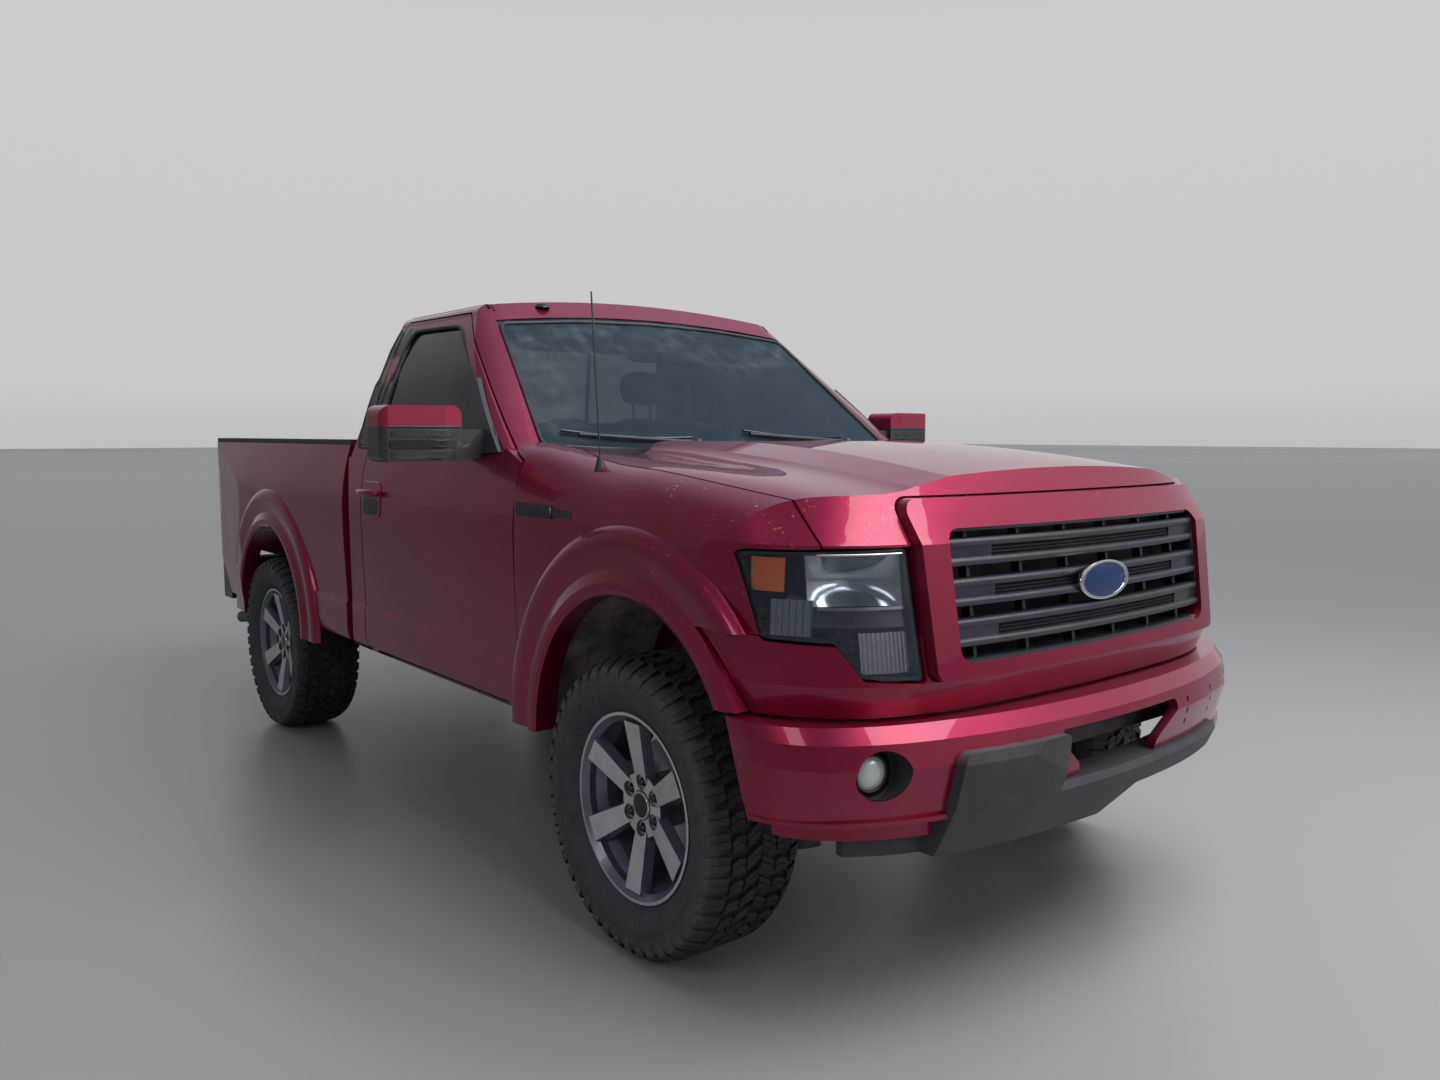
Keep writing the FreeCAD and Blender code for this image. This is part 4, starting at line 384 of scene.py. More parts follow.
SCREEN = screen_material([(-0.08, -1.1, 1.44), (0.68, -1.1, 1.44)])
TINTED = glass_material("tinted_glass", (0.006, 0.009, 0.014), 0.86, 0.06)
LENS = glass_material("lamp_lens", (0.05, 0.08, 0.1), 0.16, 0.3)
REFLECTOR = metal_material("lamp_reflector", (0.52, 0.58, 0.63), 0.16, 1.0, (0.2, 0.22, 0.22), 0.5)
RIB_GLINTS = rib_glint_material()
LAMP_BOWL = plastic_material("lamp_bowl", (0.012, 0.018, 0.024), 0.3, 0.1)
FOG_LENS = metal_material("fog_lens", (0.5, 0.54, 0.52), 0.22, 0.25, (0.35, 0.36, 0.33), 0.4)
TAIL_RED = clear_material("tail_red", (0.45, 0.008, 0.01), 0.05, 0.3)
TAIL_CLEAR = clear_material("tail_clear", (0.7, 0.7, 0.7), 0.08, 0.25)
AMBER = clear_material("amber_lens", (0.85, 0.17, 0.03), 0.1, 0.1)
WHEEL = wheel_material()
NUT = metal_material("dark_nuts", (0.05, 0.055, 0.065), 0.25, 0.9)
STEEL = metal_material("bare_steel", (0.22, 0.2, 0.19), 0.45, 1.0, (0.12, 0.07, 0.04), 0.6)
CHROME = metal_material("dull_chrome", (0.65, 0.65, 0.66), 0.12, 1.0, (0.3, 0.28, 0.26), 0.1)
MIRROR_GLASS = metal_material("mirror_glass", (0.6, 0.62, 0.64), 0.03, 1.0, (0.3, 0.3, 0.3), 0.08)
NAVY = metal_material("navy_enamel", (0.012, 0.035, 0.12), 0.2, 0.0, (0.05, 0.06, 0.1), 0.2)
FRAME_PAINT = plastic_material("frame_paint", (0.016, 0.015, 0.014), 0.6, 0.7, 120.0, 0.3)
CASTING = metal_material("casting", (0.2, 0.195, 0.19), 0.6, 0.8, (0.15, 0.1, 0.07), 0.5)
ALLOY = metal_material("cooler_alloy", (0.45, 0.45, 0.46), 0.45, 1.0)
BARS = grille_material()
BED_LINING = bed_liner_material()
MIRROR_SKIN = mirror_material(1.506, 1.03)
RUBBER = rubber_material()
MUD = mud_material()

LOOKS = {"cab": PAINT, "door_left": PAINT, "door_right": PAINT, "hood": PAINT, "grille_surround": PAINT,
         "fenders": PAINT, "front_fascia": PAINT, "bed_sides": PAINT, "tailgate": PAINT,
         "front_bumper": PAINT, "rear_bumper": GLOSS_TRIM, "bed": BED_LINING, "engine_bay": PAINT,
         "cab_glass": SCREEN, "door_glass_left": TINTED, "door_glass_right": TINTED,
         "headlamp_lenses": LENS, "headlamps": LAMP_BOWL, "fog_lamps": TRIM, "tail_lamps": TAIL_RED,
         "grille": BARS, "air_dam": GREY_PLASTIC, "rail_caps": TRIM, "cowl": TRIM, "wipers": TRIM,
         "wheel_liners": MUD, "mirror_left": MIRROR_SKIN, "mirror_right": MIRROR_SKIN, "fuel_tank": TRIM,
         "antenna": TRIM, "dashboard": CABIN, "steering_wheel": CABIN, "seat": CLOTH, "frame": FRAME_PAINT,
         "hitch_receiver": FRAME_PAINT, "front_suspension": FRAME_PAINT, "rear_axle": FRAME_PAINT,
         "knuckle_left": CASTING, "knuckle_right": CASTING, "engine": CASTING, "drivetrain": CASTING,
         "radiator": ALLOY, "exhaust": STEEL}


def dress(name, material):
    data = nodes[name].data
    data.materials.clear()
    data.materials.append(material)
    data.shade_smooth()
    data.set_sharp_from_angle(angle=math.radians(28))


for node_name in nodes:
    if node_name.startswith("tyre_"):
        dress(node_name, RUBBER)
    elif node_name in LOOKS:
        dress(node_name, LOOKS[node_name])
    else:
        dress(node_name, WHEEL)


# Mesh helpers

def make_mesh(name, verts, faces, material, smooth):
    """A mesh object; smooth gives the angle in degrees under which edges look round."""
    data = bpy.data.meshes.new(name)
    data.from_pydata([tuple(v) for v in verts], [], faces)
    fix = bmesh.new()
    fix.from_mesh(data)
    bmesh.ops.recalc_face_normals(fix, faces=fix.faces)
    fix.to_mesh(data)
    fix.free()
    data.materials.append(material)
    data.shade_smooth()
    data.set_sharp_from_angle(angle=math.radians(smooth))
    made = bpy.data.objects.new(name, data)
    bpy.context.scene.collection.objects.link(made)
    return made


class Builder:
    """Gathers vertices and faces of one piece."""

    def __init__(self):
        self.verts = []
        self.faces = []

    def add(self, verts, faces):
        first = len(self.verts)
        self.verts += [Vector(v) for v in verts]
        self.faces += [tuple(i + first for i in face) for face in faces]

    def grid(self, rows, close_u=False, close_v=False):
        """Faces between rows of equal length."""
        count = len(rows[0])
        verts = [v for row in rows for v in row]
        faces = []
        for i in range(len(rows) - (0 if close_u else 1)):
            for j in range(count - (0 if close_v else 1)):
                k, m = (i + 1) % len(rows), (j + 1) % count
                faces.append((i * count + j, i * count + m, k * count + m, k * count + j))
        self.add(verts, faces)

    def lathe(self, profile, segments, centre=(0, 0, 0), axis="X"):
        """A closed or open (along, radius) profile turned round an axis."""
        rows = []
        for i in range(segments):
            a = 2 * math.pi * i / segments
            row = []
            for along, radius in profile:
                u, v = radius * math.cos(a), radius * math.sin(a)
                spot = {"X": (along, u, v), "Y": (u, along, v), "Z": (u, v, along)}[axis]
                row.append(Vector(spot) + Vector(centre))
            rows.append(row)
        self.grid(rows, close_u=True)

    def box(self, low, high):
        (x0, y0, z0), (x1, y1, z1) = low, high
        verts = [(x, y, z) for z in (z0, z1) for y in (y0, y1) for x in (x0, x1)]
        self.add(verts, [(0, 2, 3, 1), (4, 5, 7, 6), (0, 1, 5, 4), (2, 6, 7, 3), (0, 4, 6, 2), (1, 3, 7, 5)])

    def prism(self, outline, shift):
        """A flat outline of 3-D points and the same outline moved by shift."""
        count = len(outline)
        verts = [Vector(p) for p in outline] + [Vector(p) + Vector(shift) for p in outline]
        faces = [tuple(range(count)), tuple(range(2 * count - 1, count - 1, -1))]
        faces += [(i, (i + 1) % count, count + (i + 1) % count, count + i) for i in range(count)]
        self.add(verts, faces)

    def tube(self, points, radius, sides=10):
        """A round bar along points, capped at both ends."""
        points = [Vector(p) for p in points]
        rows = []
        for i, spot in enumerate(points):
            run = (points[min(i + 1, len(points) - 1)] - points[max(i - 1, 0)]).normalized()
            side = run.orthogonal().normalized()
            if rows:
                side = (last_side - run * last_side.dot(run)).normalized()
            last_side = side
            up = run.cross(side)
            size = radius[i] if isinstance(radius, (list, tuple)) else radius
            rows.append([spot + (side * math.cos(a) + up * math.sin(a)) * size
                         for a in (2 * math.pi * k / sides for k in range(sides))])
        first = len(self.verts)
        self.grid(rows, close_v=True)
        self.faces.append(tuple(first + k for k in range(sides)))
        self.faces.append(tuple(first + (len(rows) - 1) * sides + k for k in reversed(range(sides))))

    def make(self, name, material, smooth=30, body="chassis", slot="trim", place=None):
        """The finished piece, riding on a body unless that is None."""
        made = make_mesh(name, self.verts, self.faces, material, smooth)
        if place is not None:
            made.data.transform(place)
        if body:
            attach(made, body)
        return made


def turned(name, material, profile, segments, centre, axis, smooth=40, **goes):
    """A piece of one lathed profile."""
    builder = Builder()
    builder.lathe(profile, segments, centre, axis)
    return builder.make(name, material, smooth, **goes)


def sheet(name, material, rows, smooth, close_u=False, **goes):
    """A piece of one grid of points."""
    builder = Builder()
    builder.grid(rows, close_u)
    return builder.make(name, material, smooth, **goes)


def hand(x):
    """The truck's side that a place across it is on."""
    return "left" if x > 0 else "right"


# Tyres

TREAD_COUNT = 44
TREAD_PITCH = 2 * math.pi / TREAD_COUNT
GROOVE_RADIUS = TYRE_RADIUS - 0.0165
LUG_BACK = 0.145

# Rows across one block as (x, start, end); start and end are parts of the pitch
TREAD_ROWS = [
    [(0.003, 0.00, 0.55), (0.024, 0.14, 0.70), (0.047, 0.42, 0.95)],
    [(0.054, 0.06, 0.62), (0.074, -0.02, 0.56), (0.096, 0.16, 0.76)],
    [(0.104, 0.02, 0.64), (0.126, 0.00, 0.70), (0.1425, 0.02, 0.72), (0.1515, 0.04, 0.70)],
]
# Half of the tyre's section as (x, radius), from the bead to the middle of the tread
TYRE_SECTION = [
    (0.1112, 0.2565), (0.116, 0.262), (0.1165, 0.2745), (0.128, 0.2885), (0.1405, 0.304), (0.1475, 0.322),
    (0.1515, 0.337), (0.153, 0.3385), (0.1528, 0.345), (0.1515, 0.3465), (0.152, 0.356), (0.1505, 0.372),
    (0.148, 0.388), (0.1425, 0.401), (0.13, 0.4115), (0.1, 0.4155), (0.0, 0.4165),
]


def tread_radius(x):
    """Radius of the tread blocks' tops at a distance from the tyre's middle."""
    edge = max(0.0, abs(x) - 0.098)
    return TYRE_RADIUS - 0.0006 - 0.024 * (edge / 0.052) ** 1.7


def tread_edge(x, radius, turn, start, end):
    """The two ends of one row across a block."""
    return [Vector((x, radius * math.cos(a), radius * math.sin(a)))
            for a in ((turn + part) * TREAD_PITCH for part in (start, end))]


def ladder(builder, outer, inner, closed):
    """Faces over pairs of points and down to the pairs under them; closed adds the first end wall."""
    count = len(outer)
    low = 2 * count
    faces = [(2 * i, 2 * i + 1, 2 * i + 3, 2 * i + 2) for i in range(count - 1)]
    for side in (0, 1):
        faces += [(2 * i + side, 2 * i + 2 + side, low + 2 * i + 2 + side, low + 2 * i + side)
                  for i in range(count - 1)]
    if closed:
        faces.append((0, 1, low + 1, low))
    faces.append((low - 2, low - 1, low + low - 1, low + low - 2))
    builder.add([v for row in outer + inner for v in row], faces)


def split_block(builder, rows, turn, mirror, gap=0.045):
    """One block with flat walls down to the groove, cut by a narrow sipe."""
    for part in (0, 1):
        top, base = [], []
        for x, start, end in rows:
            middle = (start + end) / 2
            span = (middle + gap / 2, end) if part else (start, middle - gap / 2)
            radius = tread_radius(x)
            top.append(tread_edge(x * mirror, radius, turn, *span))
            base.append(tread_edge(x * mirror, min(radius - 0.004, GROOVE_RADIUS), turn, *span))
        ladder(builder, top, base, True)


def side_lug(builder, turn, mirror, inner):
    """A lug that runs from the shoulder down the sidewall."""
    rows = [(0.1515, tread_radius(0.1515), 0.06, 0.68), (0.1535, 0.397, 0.09, 0.63),
            (0.1545, inner + 0.006, 0.15, 0.56), (0.151, inner, 0.17, 0.54)]
    outer = [tread_edge(x * mirror, r, turn, start, end) for x, r, start, end in rows]
    back = [[Vector((LUG_BACK * mirror, v.y, v.z)) for v in row] for row in outer]
    ladder(builder, outer, back, False)


def tyre_mesh(name):
    builder = Builder()
    builder.lathe(TYRE_SECTION + [(-x, r) for x, r in reversed(TYRE_SECTION[:-1])], 132)
    for i in range(TREAD_COUNT):
        for mirror, shift in ((1, 0.0), (-1, 0.5)):
            turn = i + shift
            split_block(builder, TREAD_ROWS[0], turn, mirror)
            split_block(builder, TREAD_ROWS[1], turn + 0.35, mirror)
            split_block(builder, TREAD_ROWS[2], turn + 0.1, mirror, 0.03)
            side_lug(builder, turn + 0.1, mirror, 0.372 if i % 2 else 0.383)
    return builder.make(name, RUBBER, 25, body=None)


WHEELS = [(f"{end}_{side}", sign, y) for end, y in (("front", FRONT_AXLE_Y), ("rear", REAR_AXLE_Y))
          for side, sign in SIDES]
first_tyre = tyre_mesh("tread_front_left")
for place, sign, y in WHEELS:
    tyre = first_tyre
    if place != "front_left":
        tyre = bpy.data.objects.new(f"tread_{place}", first_tyre.data)
        bpy.context.scene.collection.objects.link(tyre)
    tyre.location = (sign * WHEEL_X, y, TYRE_RADIUS)
    tyre.rotation_euler = (rng.uniform(0, 6.28), 0, 0)
    bpy.context.view_layer.update()
    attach(tyre, f"wheel_{place}")
    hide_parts(f"tyre_{place}")


# Helpers that seat pieces on the frame's surfaces

def skin_of(*names):
    """A search tree over the faces of some nodes."""
    verts, faces = [], []
    for name in names:
        mesh = nodes[name].data
        first = len(verts)
        verts += [v.co.copy() for v in mesh.vertices]
        faces += [tuple(first + i for i in p.vertices) for p in mesh.polygons]
    return BVHTree.FromPolygons(verts, faces)


def caster(tree, start_of, way):
    """A function from a flat point to the spot and outward direction on a surface."""
    way = Vector(way)
    reach = [0.7]

    def cast(p):
        start = Vector(start_of(p))
        spot, normal, _, distance = tree.ray_cast(start, way)
        if spot is None:
            spot, normal, _, _ = tree.find_nearest(start + way * reach[0])
        else:
            reach[0] = distance
        return spot, normal if normal.dot(way) < 0 else -normal
    return cast


def from_side(tree, sign):
    """Flat points are (y, z)."""
    return caster(tree, lambda p: (sign * 1.6, p[0], p[1]), (-sign, 0, 0))


def from_front(tree):
    """Flat points are (x, z)."""
    return caster(tree, lambda p: (p[0], -3.2, p[1]), (0, 1, 0))


def from_rear(tree, y=3.2):
    """Flat points are (x, z)."""
    return caster(tree, lambda p: (p[0], y, p[1]), (0, -1, 0))


def from_top(tree, z=2.6):
    """Flat points are (x, y)."""
    return caster(tree, lambda p: (p[0], p[1], z), (0, 0, -1))


def rounded(corners, radius, steps=5):
    """A flat outline with round corners."""
    points = []
    for i, corner in enumerate(corners):
        here = Vector(corner)
        before = Vector(corners[i - 1]) - here
        after = Vector(corners[(i + 1) % len(corners)]) - here
        cut = min(radius, before.length * 0.48, after.length * 0.48)
        start, end = here + before.normalized() * cut, here + after.normalized() * cut
        for k in range(steps + 1):
            t = k / steps
            points.append(start * (1 - t) ** 2 + here * (2 * t * (1 - t)) + end * t * t)
    return points


def oblong(a0, a1, b0, b1, radius):
    return rounded([(a0, b0), (a1, b0), (a1, b1), (a0, b1)], radius)


def dense(outline, gap, closed=True):
    """The same outline with extra points on its long runs; an open one keeps both its ends."""
    line = [Vector(p) for p in outline]
    points = []
    for here, there in zip(line, line[1:] + line[:1] if closed else line[1:]):
        parts = max(1, math.ceil((there - here).length / gap))
        points += [here.lerp(there, k / parts) for k in range(parts)]
    return points if closed else points + line[-1:]


def laid(cast, points, lift):
    """The places of flat points on a surface, lifted off it."""
    return [spot + normal * lift for spot, normal in (cast(p) for p in points)]


def plate(name, outline, cast, material, lift=0.004, bevel=0.003, sink=0.002, rings=4, gap=0.05, **goes):
    """A raised plate with a bevelled edge that follows the surface it lies on."""
    outline = dense(outline, gap)
    middle = sum(outline, Vector((0, 0))) / len(outline)
    reach = sum((p - middle).length for p in outline) / len(outline)
    inner = max(0.5, 1 - bevel / reach)
    steps = [(0.02 + (inner - 0.02) * k / rings, lift) for k in range(rings + 1)]
    steps += [(1.0, max(lift - bevel, lift * 0.3)), (1.0, -sink)]
    builder = Builder()
    builder.grid([laid(cast, [middle + (p - middle) * scale for p in outline], height)
                  for scale, height in steps], close_v=True)
    builder.faces.append(tuple(range(len(outline))))
    return builder.make(name, material, 35, **goes)


def strip(name, points, cast, radius, lift=0.0, material=TRIM, closed=False, **goes):
    """A round strip that runs over a surface."""
    line = dense(points, 0.04) if closed else dense(points, 0.03, False)
    builder = Builder()
    builder.tube(laid(cast, line + line[:1] if closed else line, lift), radius, 8)
    return builder.make(name, material, 50, **goes)


SEAM_DEPTH, SEAM_REACH = 0.012, 0.06


def pad_form(low, high, power=4.0, count=18, crown=0.0, seams=()):
    """A padded block: a rounded box, crowned on its top, with sewn channels at parts of its width."""
    low, high = Vector(low), Vector(high)
    middle, half = (low + high) / 2, (high - low) / 2
    rows = []
    for i in range(count * 2 + 1):
        lat = -math.pi / 2 + math.pi * i / (count * 2)
        row = []
        for j in range(count * 4):
            lon = 2 * math.pi * j / (count * 4)
            unit = Vector((math.cos(lat) * math.cos(lon), math.cos(lat) * math.sin(lon), math.sin(lat)))
            size = sum(abs(c) ** power for c in unit) ** (1 / power)
            p = unit / size
            for seam in seams:
                near = abs(p.x - seam)
                if near < SEAM_REACH:
                    p = p * (1 - SEAM_DEPTH / min(half) * (1 - near / SEAM_REACH))
            row.append(middle + Vector((p.x * half.x, p.y * half.y, p.z * half.z))
                       - Vector((0, 0, 1)) * crown * (p.x * p.x + p.y * p.y) * (1 if p.z > 0 else 0))
        rows.append(row)
    builder = Builder()
    builder.grid(rows, close_v=True)
    return builder


# Surfaces that carry trim

cab_skin = skin_of("cab")
side_tree = {name: skin_of(f"door_{name}", f"door_glass_{name}") for name, _ in SIDES}
fender_tree = skin_of("fenders")
lens_tree = skin_of("headlamp_lenses")
screen_tree = skin_of("cab_glass")
PILLAR_Y = 0.26


def pillar_cast(sign):
    """The cab's side section, the same at every length: flat points are (y, z)."""
    base = from_side(cab_skin, sign)

    def cast(p):
        spot, normal = base((PILLAR_Y, p[1]))
        return Vector((spot.x, p[0], p[1])), normal
    return cast


# Windows, pillars, handles and fender plates on both sides

HANDLE_Z = 1.247
LOCK_Y, LOCK_Z, LOCK_RADIUS = 0.135, 1.185, 0.009
WINDOW = [(-0.944, 1.46), (0.17, 1.46), (0.12, 1.905), (-0.322, 1.896)]
for side, sign in SIDES:
    door = f"door_{side}"
    cast = pillar_cast(sign)
    seal = rounded(WINDOW, 0.05, 6)
    strip(f"window_seal_{side}", seal, cast, 0.0075, -0.001, closed=True, body=door)
    plate(f"pillar_trim_door_{side}",
          rounded([(0.09, 1.452), (0.174, 1.445), (0.224, 1.922), (0.13, 1.922)], 0.008), cast, PILLAR,
          0.003, 0.002, 0.012, 3, body=door)
    plate(f"pillar_trim_cab_{side}",
          rounded([(0.193, 1.43), (0.292, 1.44), (0.268, 1.915), (0.24, 1.925)], 0.012), cast, PILLAR,
          0.003, 0.002, 0.004, 3)
    strip(f"pillar_seal_{side}", [(0.193, 1.424), (0.285, 1.426), (0.298, 1.45), (0.272, 1.92)], cast,
          0.005, 0.001)
    strip(f"belt_seal_{side}", [(-0.93, 1.449), (0.176, 1.449)], cast, 0.007, 0.001, body=door)
    strip(f"roof_ditch_{side}", [(0.684, -0.44), (0.686, 0.31)],
          from_top(cab_skin) if sign > 0 else caster(cab_skin, lambda p: (-p[0], p[1], 2.6), (0, 0, -1)),
          0.0045, -0.001)
    handle_cast = from_side(side_tree[side], sign)
    plate(f"handle_cup_{side}", oblong(-0.028, 0.165, 1.148, 1.292, 0.035), handle_cast, PAINT, 0.005,
          0.004, body=door, slot="paint")
    plate(f"handle_hollow_{side}", oblong(-0.012, 0.15, 1.158, 1.226, 0.03), handle_cast, GLOSS_TRIM, 0.006,
          0.003, body=door)
    bar = Builder()
    grip = [(-0.026, 0.012), (-0.012, 0.026), (0.03, 0.034), (0.107, 0.034), (0.15, 0.026), (0.164, 0.012)]
    spots = []
    for y, out in grip:
        spot, _ = handle_cast((y, HANDLE_Z))
        spots.append(Vector((spot.x + sign * out, y, HANDLE_Z)))
    bar.tube(spots, [0.01, 0.014, 0.0155, 0.0155, 0.014, 0.01], 14)
    bar.make(f"door_handle_{side}", PAINT, 50, body=door, slot="paint")
    if side == "left":
        turns = [k * math.pi / 8 for k in range(16)]
        lock = [(LOCK_Y + LOCK_RADIUS * math.cos(a), LOCK_Z + LOCK_RADIUS * math.sin(a)) for a in turns]
        plate("door_lock_left", lock, handle_cast, CHROME, 0.012, 0.002, body=door)
    fender_cast = from_side(fender_tree, sign)
    plate(f"fender_plate_{side}",
          rounded([(-1.15, 1.226), (-1.15, 1.268), (-1.36, 1.268), (-1.372, 1.226)], 0.009), fender_cast,
          GLOSS_TRIM, 0.007, 0.003)
    plate(f"fender_plate_tail_{side}",
          rounded([(-1.37, 1.234), (-1.372, 1.258), (-1.47, 1.256), (-1.478, 1.234)], 0.006), fender_cast,
          TRIM, 0.005, 0.002)

fuel_cast = from_side(skin_of("bed_sides"), 1)
plate("fuel_door_gap", oblong(0.662, 0.838, 1.042, 1.218, 0.032), fuel_cast, GLOSS_TRIM, 0.0012, 0.001)
plate("fuel_door", oblong(0.667, 0.833, 1.047, 1.213, 0.028), fuel_cast, PAINT, 0.003, 0.002, slot="paint")


# Mirrors: cap line, front panel lines and the glass

for side, sign in SIDES:
    door = f"door_{side}"
    tree = skin_of(f"mirror_{side}")
    front = from_front(tree)
    rear = from_rear(tree)
    strip(f"mirror_cap_line_{side}", [(sign * 1.048, 1.506), (sign * 1.285, 1.506)], front, 0.0035,
          body=door)
    xs = sorted((sign * 1.062, sign * 1.285))
    plate(f"mirror_lamp_band_{side}", oblong(xs[0], xs[1], 1.436, 1.464, 0.008), front, GLOSS_TRIM, 0.003,
          0.002, body=door)
    for k, (z0, z1) in enumerate(((1.472, 1.497), (1.4, 1.43))):
        plate(f"mirror_face_{side}_{k}", oblong(xs[0] + 0.004, xs[1] - 0.004, z0, z1, 0.008), front, TRIM,
              0.002, 0.002, body=door)
    glass = sorted((sign * 1.062, sign * 1.29))
    plate(f"mirror_glass_{side}", oblong(glass[0], glass[1], 1.404, 1.562, 0.02), rear, MIRROR_GLASS, 0.003,
          0.002, body=door, slot="glass")
    plate(f"mirror_frame_{side}", oblong(glass[0] - 0.008, glass[1] + 0.008, 1.397, 1.569, 0.024), rear,
          TRIM, 0.0018, 0.0015, body=door)


# Roof: aerial puck and third brake lamp; rear window frame and bars

puck_spot, _ = from_top(cab_skin)((-0.47, -0.42))
puck_top = min(0.015, cad_box[1][2] - 0.0006 - puck_spot.z)
turned("roof_puck", GLOSS_TRIM,
       [(0.0001, 0.0001), (-0.12 * puck_top, 0.016), (-0.5 * puck_top, 0.026), (-puck_top - 0.003, 0.032)],
       28, (puck_spot.x, puck_spot.y, puck_spot.z + puck_top), "Z")
back_cast = from_rear(cab_skin)
plate("brake_lamp_frame", oblong(-0.2, 0.2, 1.922, 1.962, 0.014), back_cast, TRIM, 0.004, 0.003)
BRAKE_LAMPS = ((-0.185, -0.075, TAIL_RED, "tail_lamp"), (0.075, 0.185, TAIL_RED, "tail_lamp"),
               (-0.065, 0.065, TAIL_CLEAR, "lens"))
for k, (x0, x1, material, slot) in enumerate(BRAKE_LAMPS):
    plate(f"brake_lamp_{k}", oblong(x0, x1, 1.93, 1.954, 0.008), back_cast, material, 0.007, 0.003,
          slot=slot)
rear_glass_cast = from_rear(screen_tree)
strip("rear_window_seal",
      rounded([(-0.644, 1.526), (0.644, 1.526), (0.62, 1.879), (-0.62, 1.879)], 0.055, 6), rear_glass_cast,
      0.009, 0.003, closed=True)
for x in (-0.215, 0.215):
    strip(f"rear_window_bar_{hand(x)}", [(x, 1.535), (x, 1.87)], rear_glass_cast, 0.009)


# Windscreen: seal, wiper blades and washer jets

front_glass = from_front(screen_tree)
strip("screen_seal",
      rounded([(-0.822, 1.443), (-0.45, 1.424), (0, 1.412), (0.45, 1.424), (0.822, 1.443), (0.698, 1.893),
               (0.35, 1.922), (0, 1.931), (-0.35, 1.922), (-0.698, 1.893)], 0.03, 3), front_glass, 0.007,
      0.002, closed=True)
for k, (x0, x1) in enumerate(((-0.73, -0.22), (0.05, 0.56))):
    line = [(x0 + (x1 - x0) * t, 1.487 - 0.026 * t - 0.012 * math.sin(math.pi * t))
            for t in (i / 12 for i in range(13))]
    spots = laid(front_glass, line, 0.011)
    blade = Builder()
    blade.tube(spots, 0.006, 8)
    blade.tube([spot - Vector((0, 0.004, 0.007)) for spot in spots], 0.0025, 6)
    blade.make(f"wiper_blade_{k}", GLOSS_TRIM, 50)
for x in (-0.36, 0.36):
    spot, _ = from_top(skin_of("hood"))((x, -1.28))
    turned(f"washer_jet_{hand(x)}", TRIM, [(0.009, 0.0001), (0.008, 0.006), (0.004, 0.012), (-0.003, 0.016)],
           20, spot, "Z", body="hood")


# Headlamps: what shows behind each lens

# Inward for each metre back behind the lens
LENS_LEAN = 0.35


def lamp_patch(sign, x0, x1, z0, z1, back, name, material, slot, columns, lines, smooth=40):
    """A sheet behind the lens; back gives its depth behind the lens from two parts 0 to 1."""
    cast = from_front(lens_tree)
    rows = []
    for i in range(lines + 1):
        v = i / lines
        row = []
        for j in range(columns + 1):
            u = j / columns
            x, z = x0 + (x1 - x0) * u, z0 + (z1 - z0) * v
            spot, _ = cast((sign * x, z))
            row.append(Vector((spot.x - sign * back(u, v) * LENS_LEAN, spot.y + back(u, v), z)))
        rows.append(row)
    sheet(name, material, rows, smooth, slot=slot)


def flank_patch(name, cast, sign, ys, zs, columns, lines, depth, material, smooth, slot):
    """A sheet inside the lens's flank; ys and zs are (start, length), depth is taken from the column."""
    rows = []
    for i in range(lines + 1):
        z = zs[0] + zs[1] * i / lines
        spots = [cast((ys[0] + ys[1] * j / columns, z))[0] for j in range(columns + 1)]
        rows.append([spot - Vector((sign * depth(j), 0, 0)) for j, spot in enumerate(spots)])
    sheet(name, material, rows, smooth, slot=slot)


for side, sign in SIDES:
    lamp_patch(sign, 0.69, 0.885, 1.072, 1.195,
               lambda u, v: 0.014 + 0.062 * (1 - (2 * u - 1) ** 2) * (1 - (2 * v - 0.9) ** 2 * 0.8),
               f"lamp_reflector_{side}", REFLECTOR, "lamp", 24, 16)
    lamp_patch(sign, 0.688, 0.9, 1.022, 1.066, lambda u, v: 0.016 + 0.012 * v, f"lamp_shelf_{side}",
               LAMP_BOWL, "lamp", 16, 4)
    lamp_patch(sign, 0.69, 0.87, 1.064, 1.072, lambda u, v: 0.014, f"lamp_shelf_edge_{side}", REFLECTOR,
               "lamp", 16, 1)
    # The turn lamp's reflector carries painted rib highlights and painted groove shade
    lamp_patch(sign, 0.688, 0.8, 0.912, 1.01, lambda u, v: 0.01 + 0.009 * abs(math.sin(u * math.pi * 11)),
               f"turn_lamp_{side}", RIB_GLINTS, "lamp", 132, 6, 25)
    marker_cast = from_side(lens_tree, sign)
    flank_patch(f"side_marker_{side}", marker_cast, sign, (-2.335, 0.085), (1.106, 0.082), 8, 6,
                lambda j: 0.012, AMBER, 50, "lens")
    flank_patch(f"lamp_facets_{side}", marker_cast, sign, (-2.395, 0.09), (1.0, 0.088), 12, 4,
                lambda j: 0.012 + 0.006 * (j % 2), REFLECTOR, 10, "lamp")
    cast = from_front(lens_tree)
    spot, _ = cast((sign * 0.885, 1.06))
    turned(f"lamp_cup_{side}", LAMP_BOWL,
           [(-0.012, 0.0001), (-0.01, 0.014), (0.004, 0.022), (0.03, 0.034), (0.034, 0.036), (0.036, 0.032)],
           32, (spot.x - sign * 0.016, spot.y + 0.03, 1.075), "Y", slot="lamp")
    strip(f"lamp_top_line_{side}", [(sign * 0.69, 1.199), (sign * 0.87, 1.197)], cast, 0.0028, 0.001,
          material=CHROME, slot="lamp")


# Fog lamps: a black cup with a round lens that leans outward

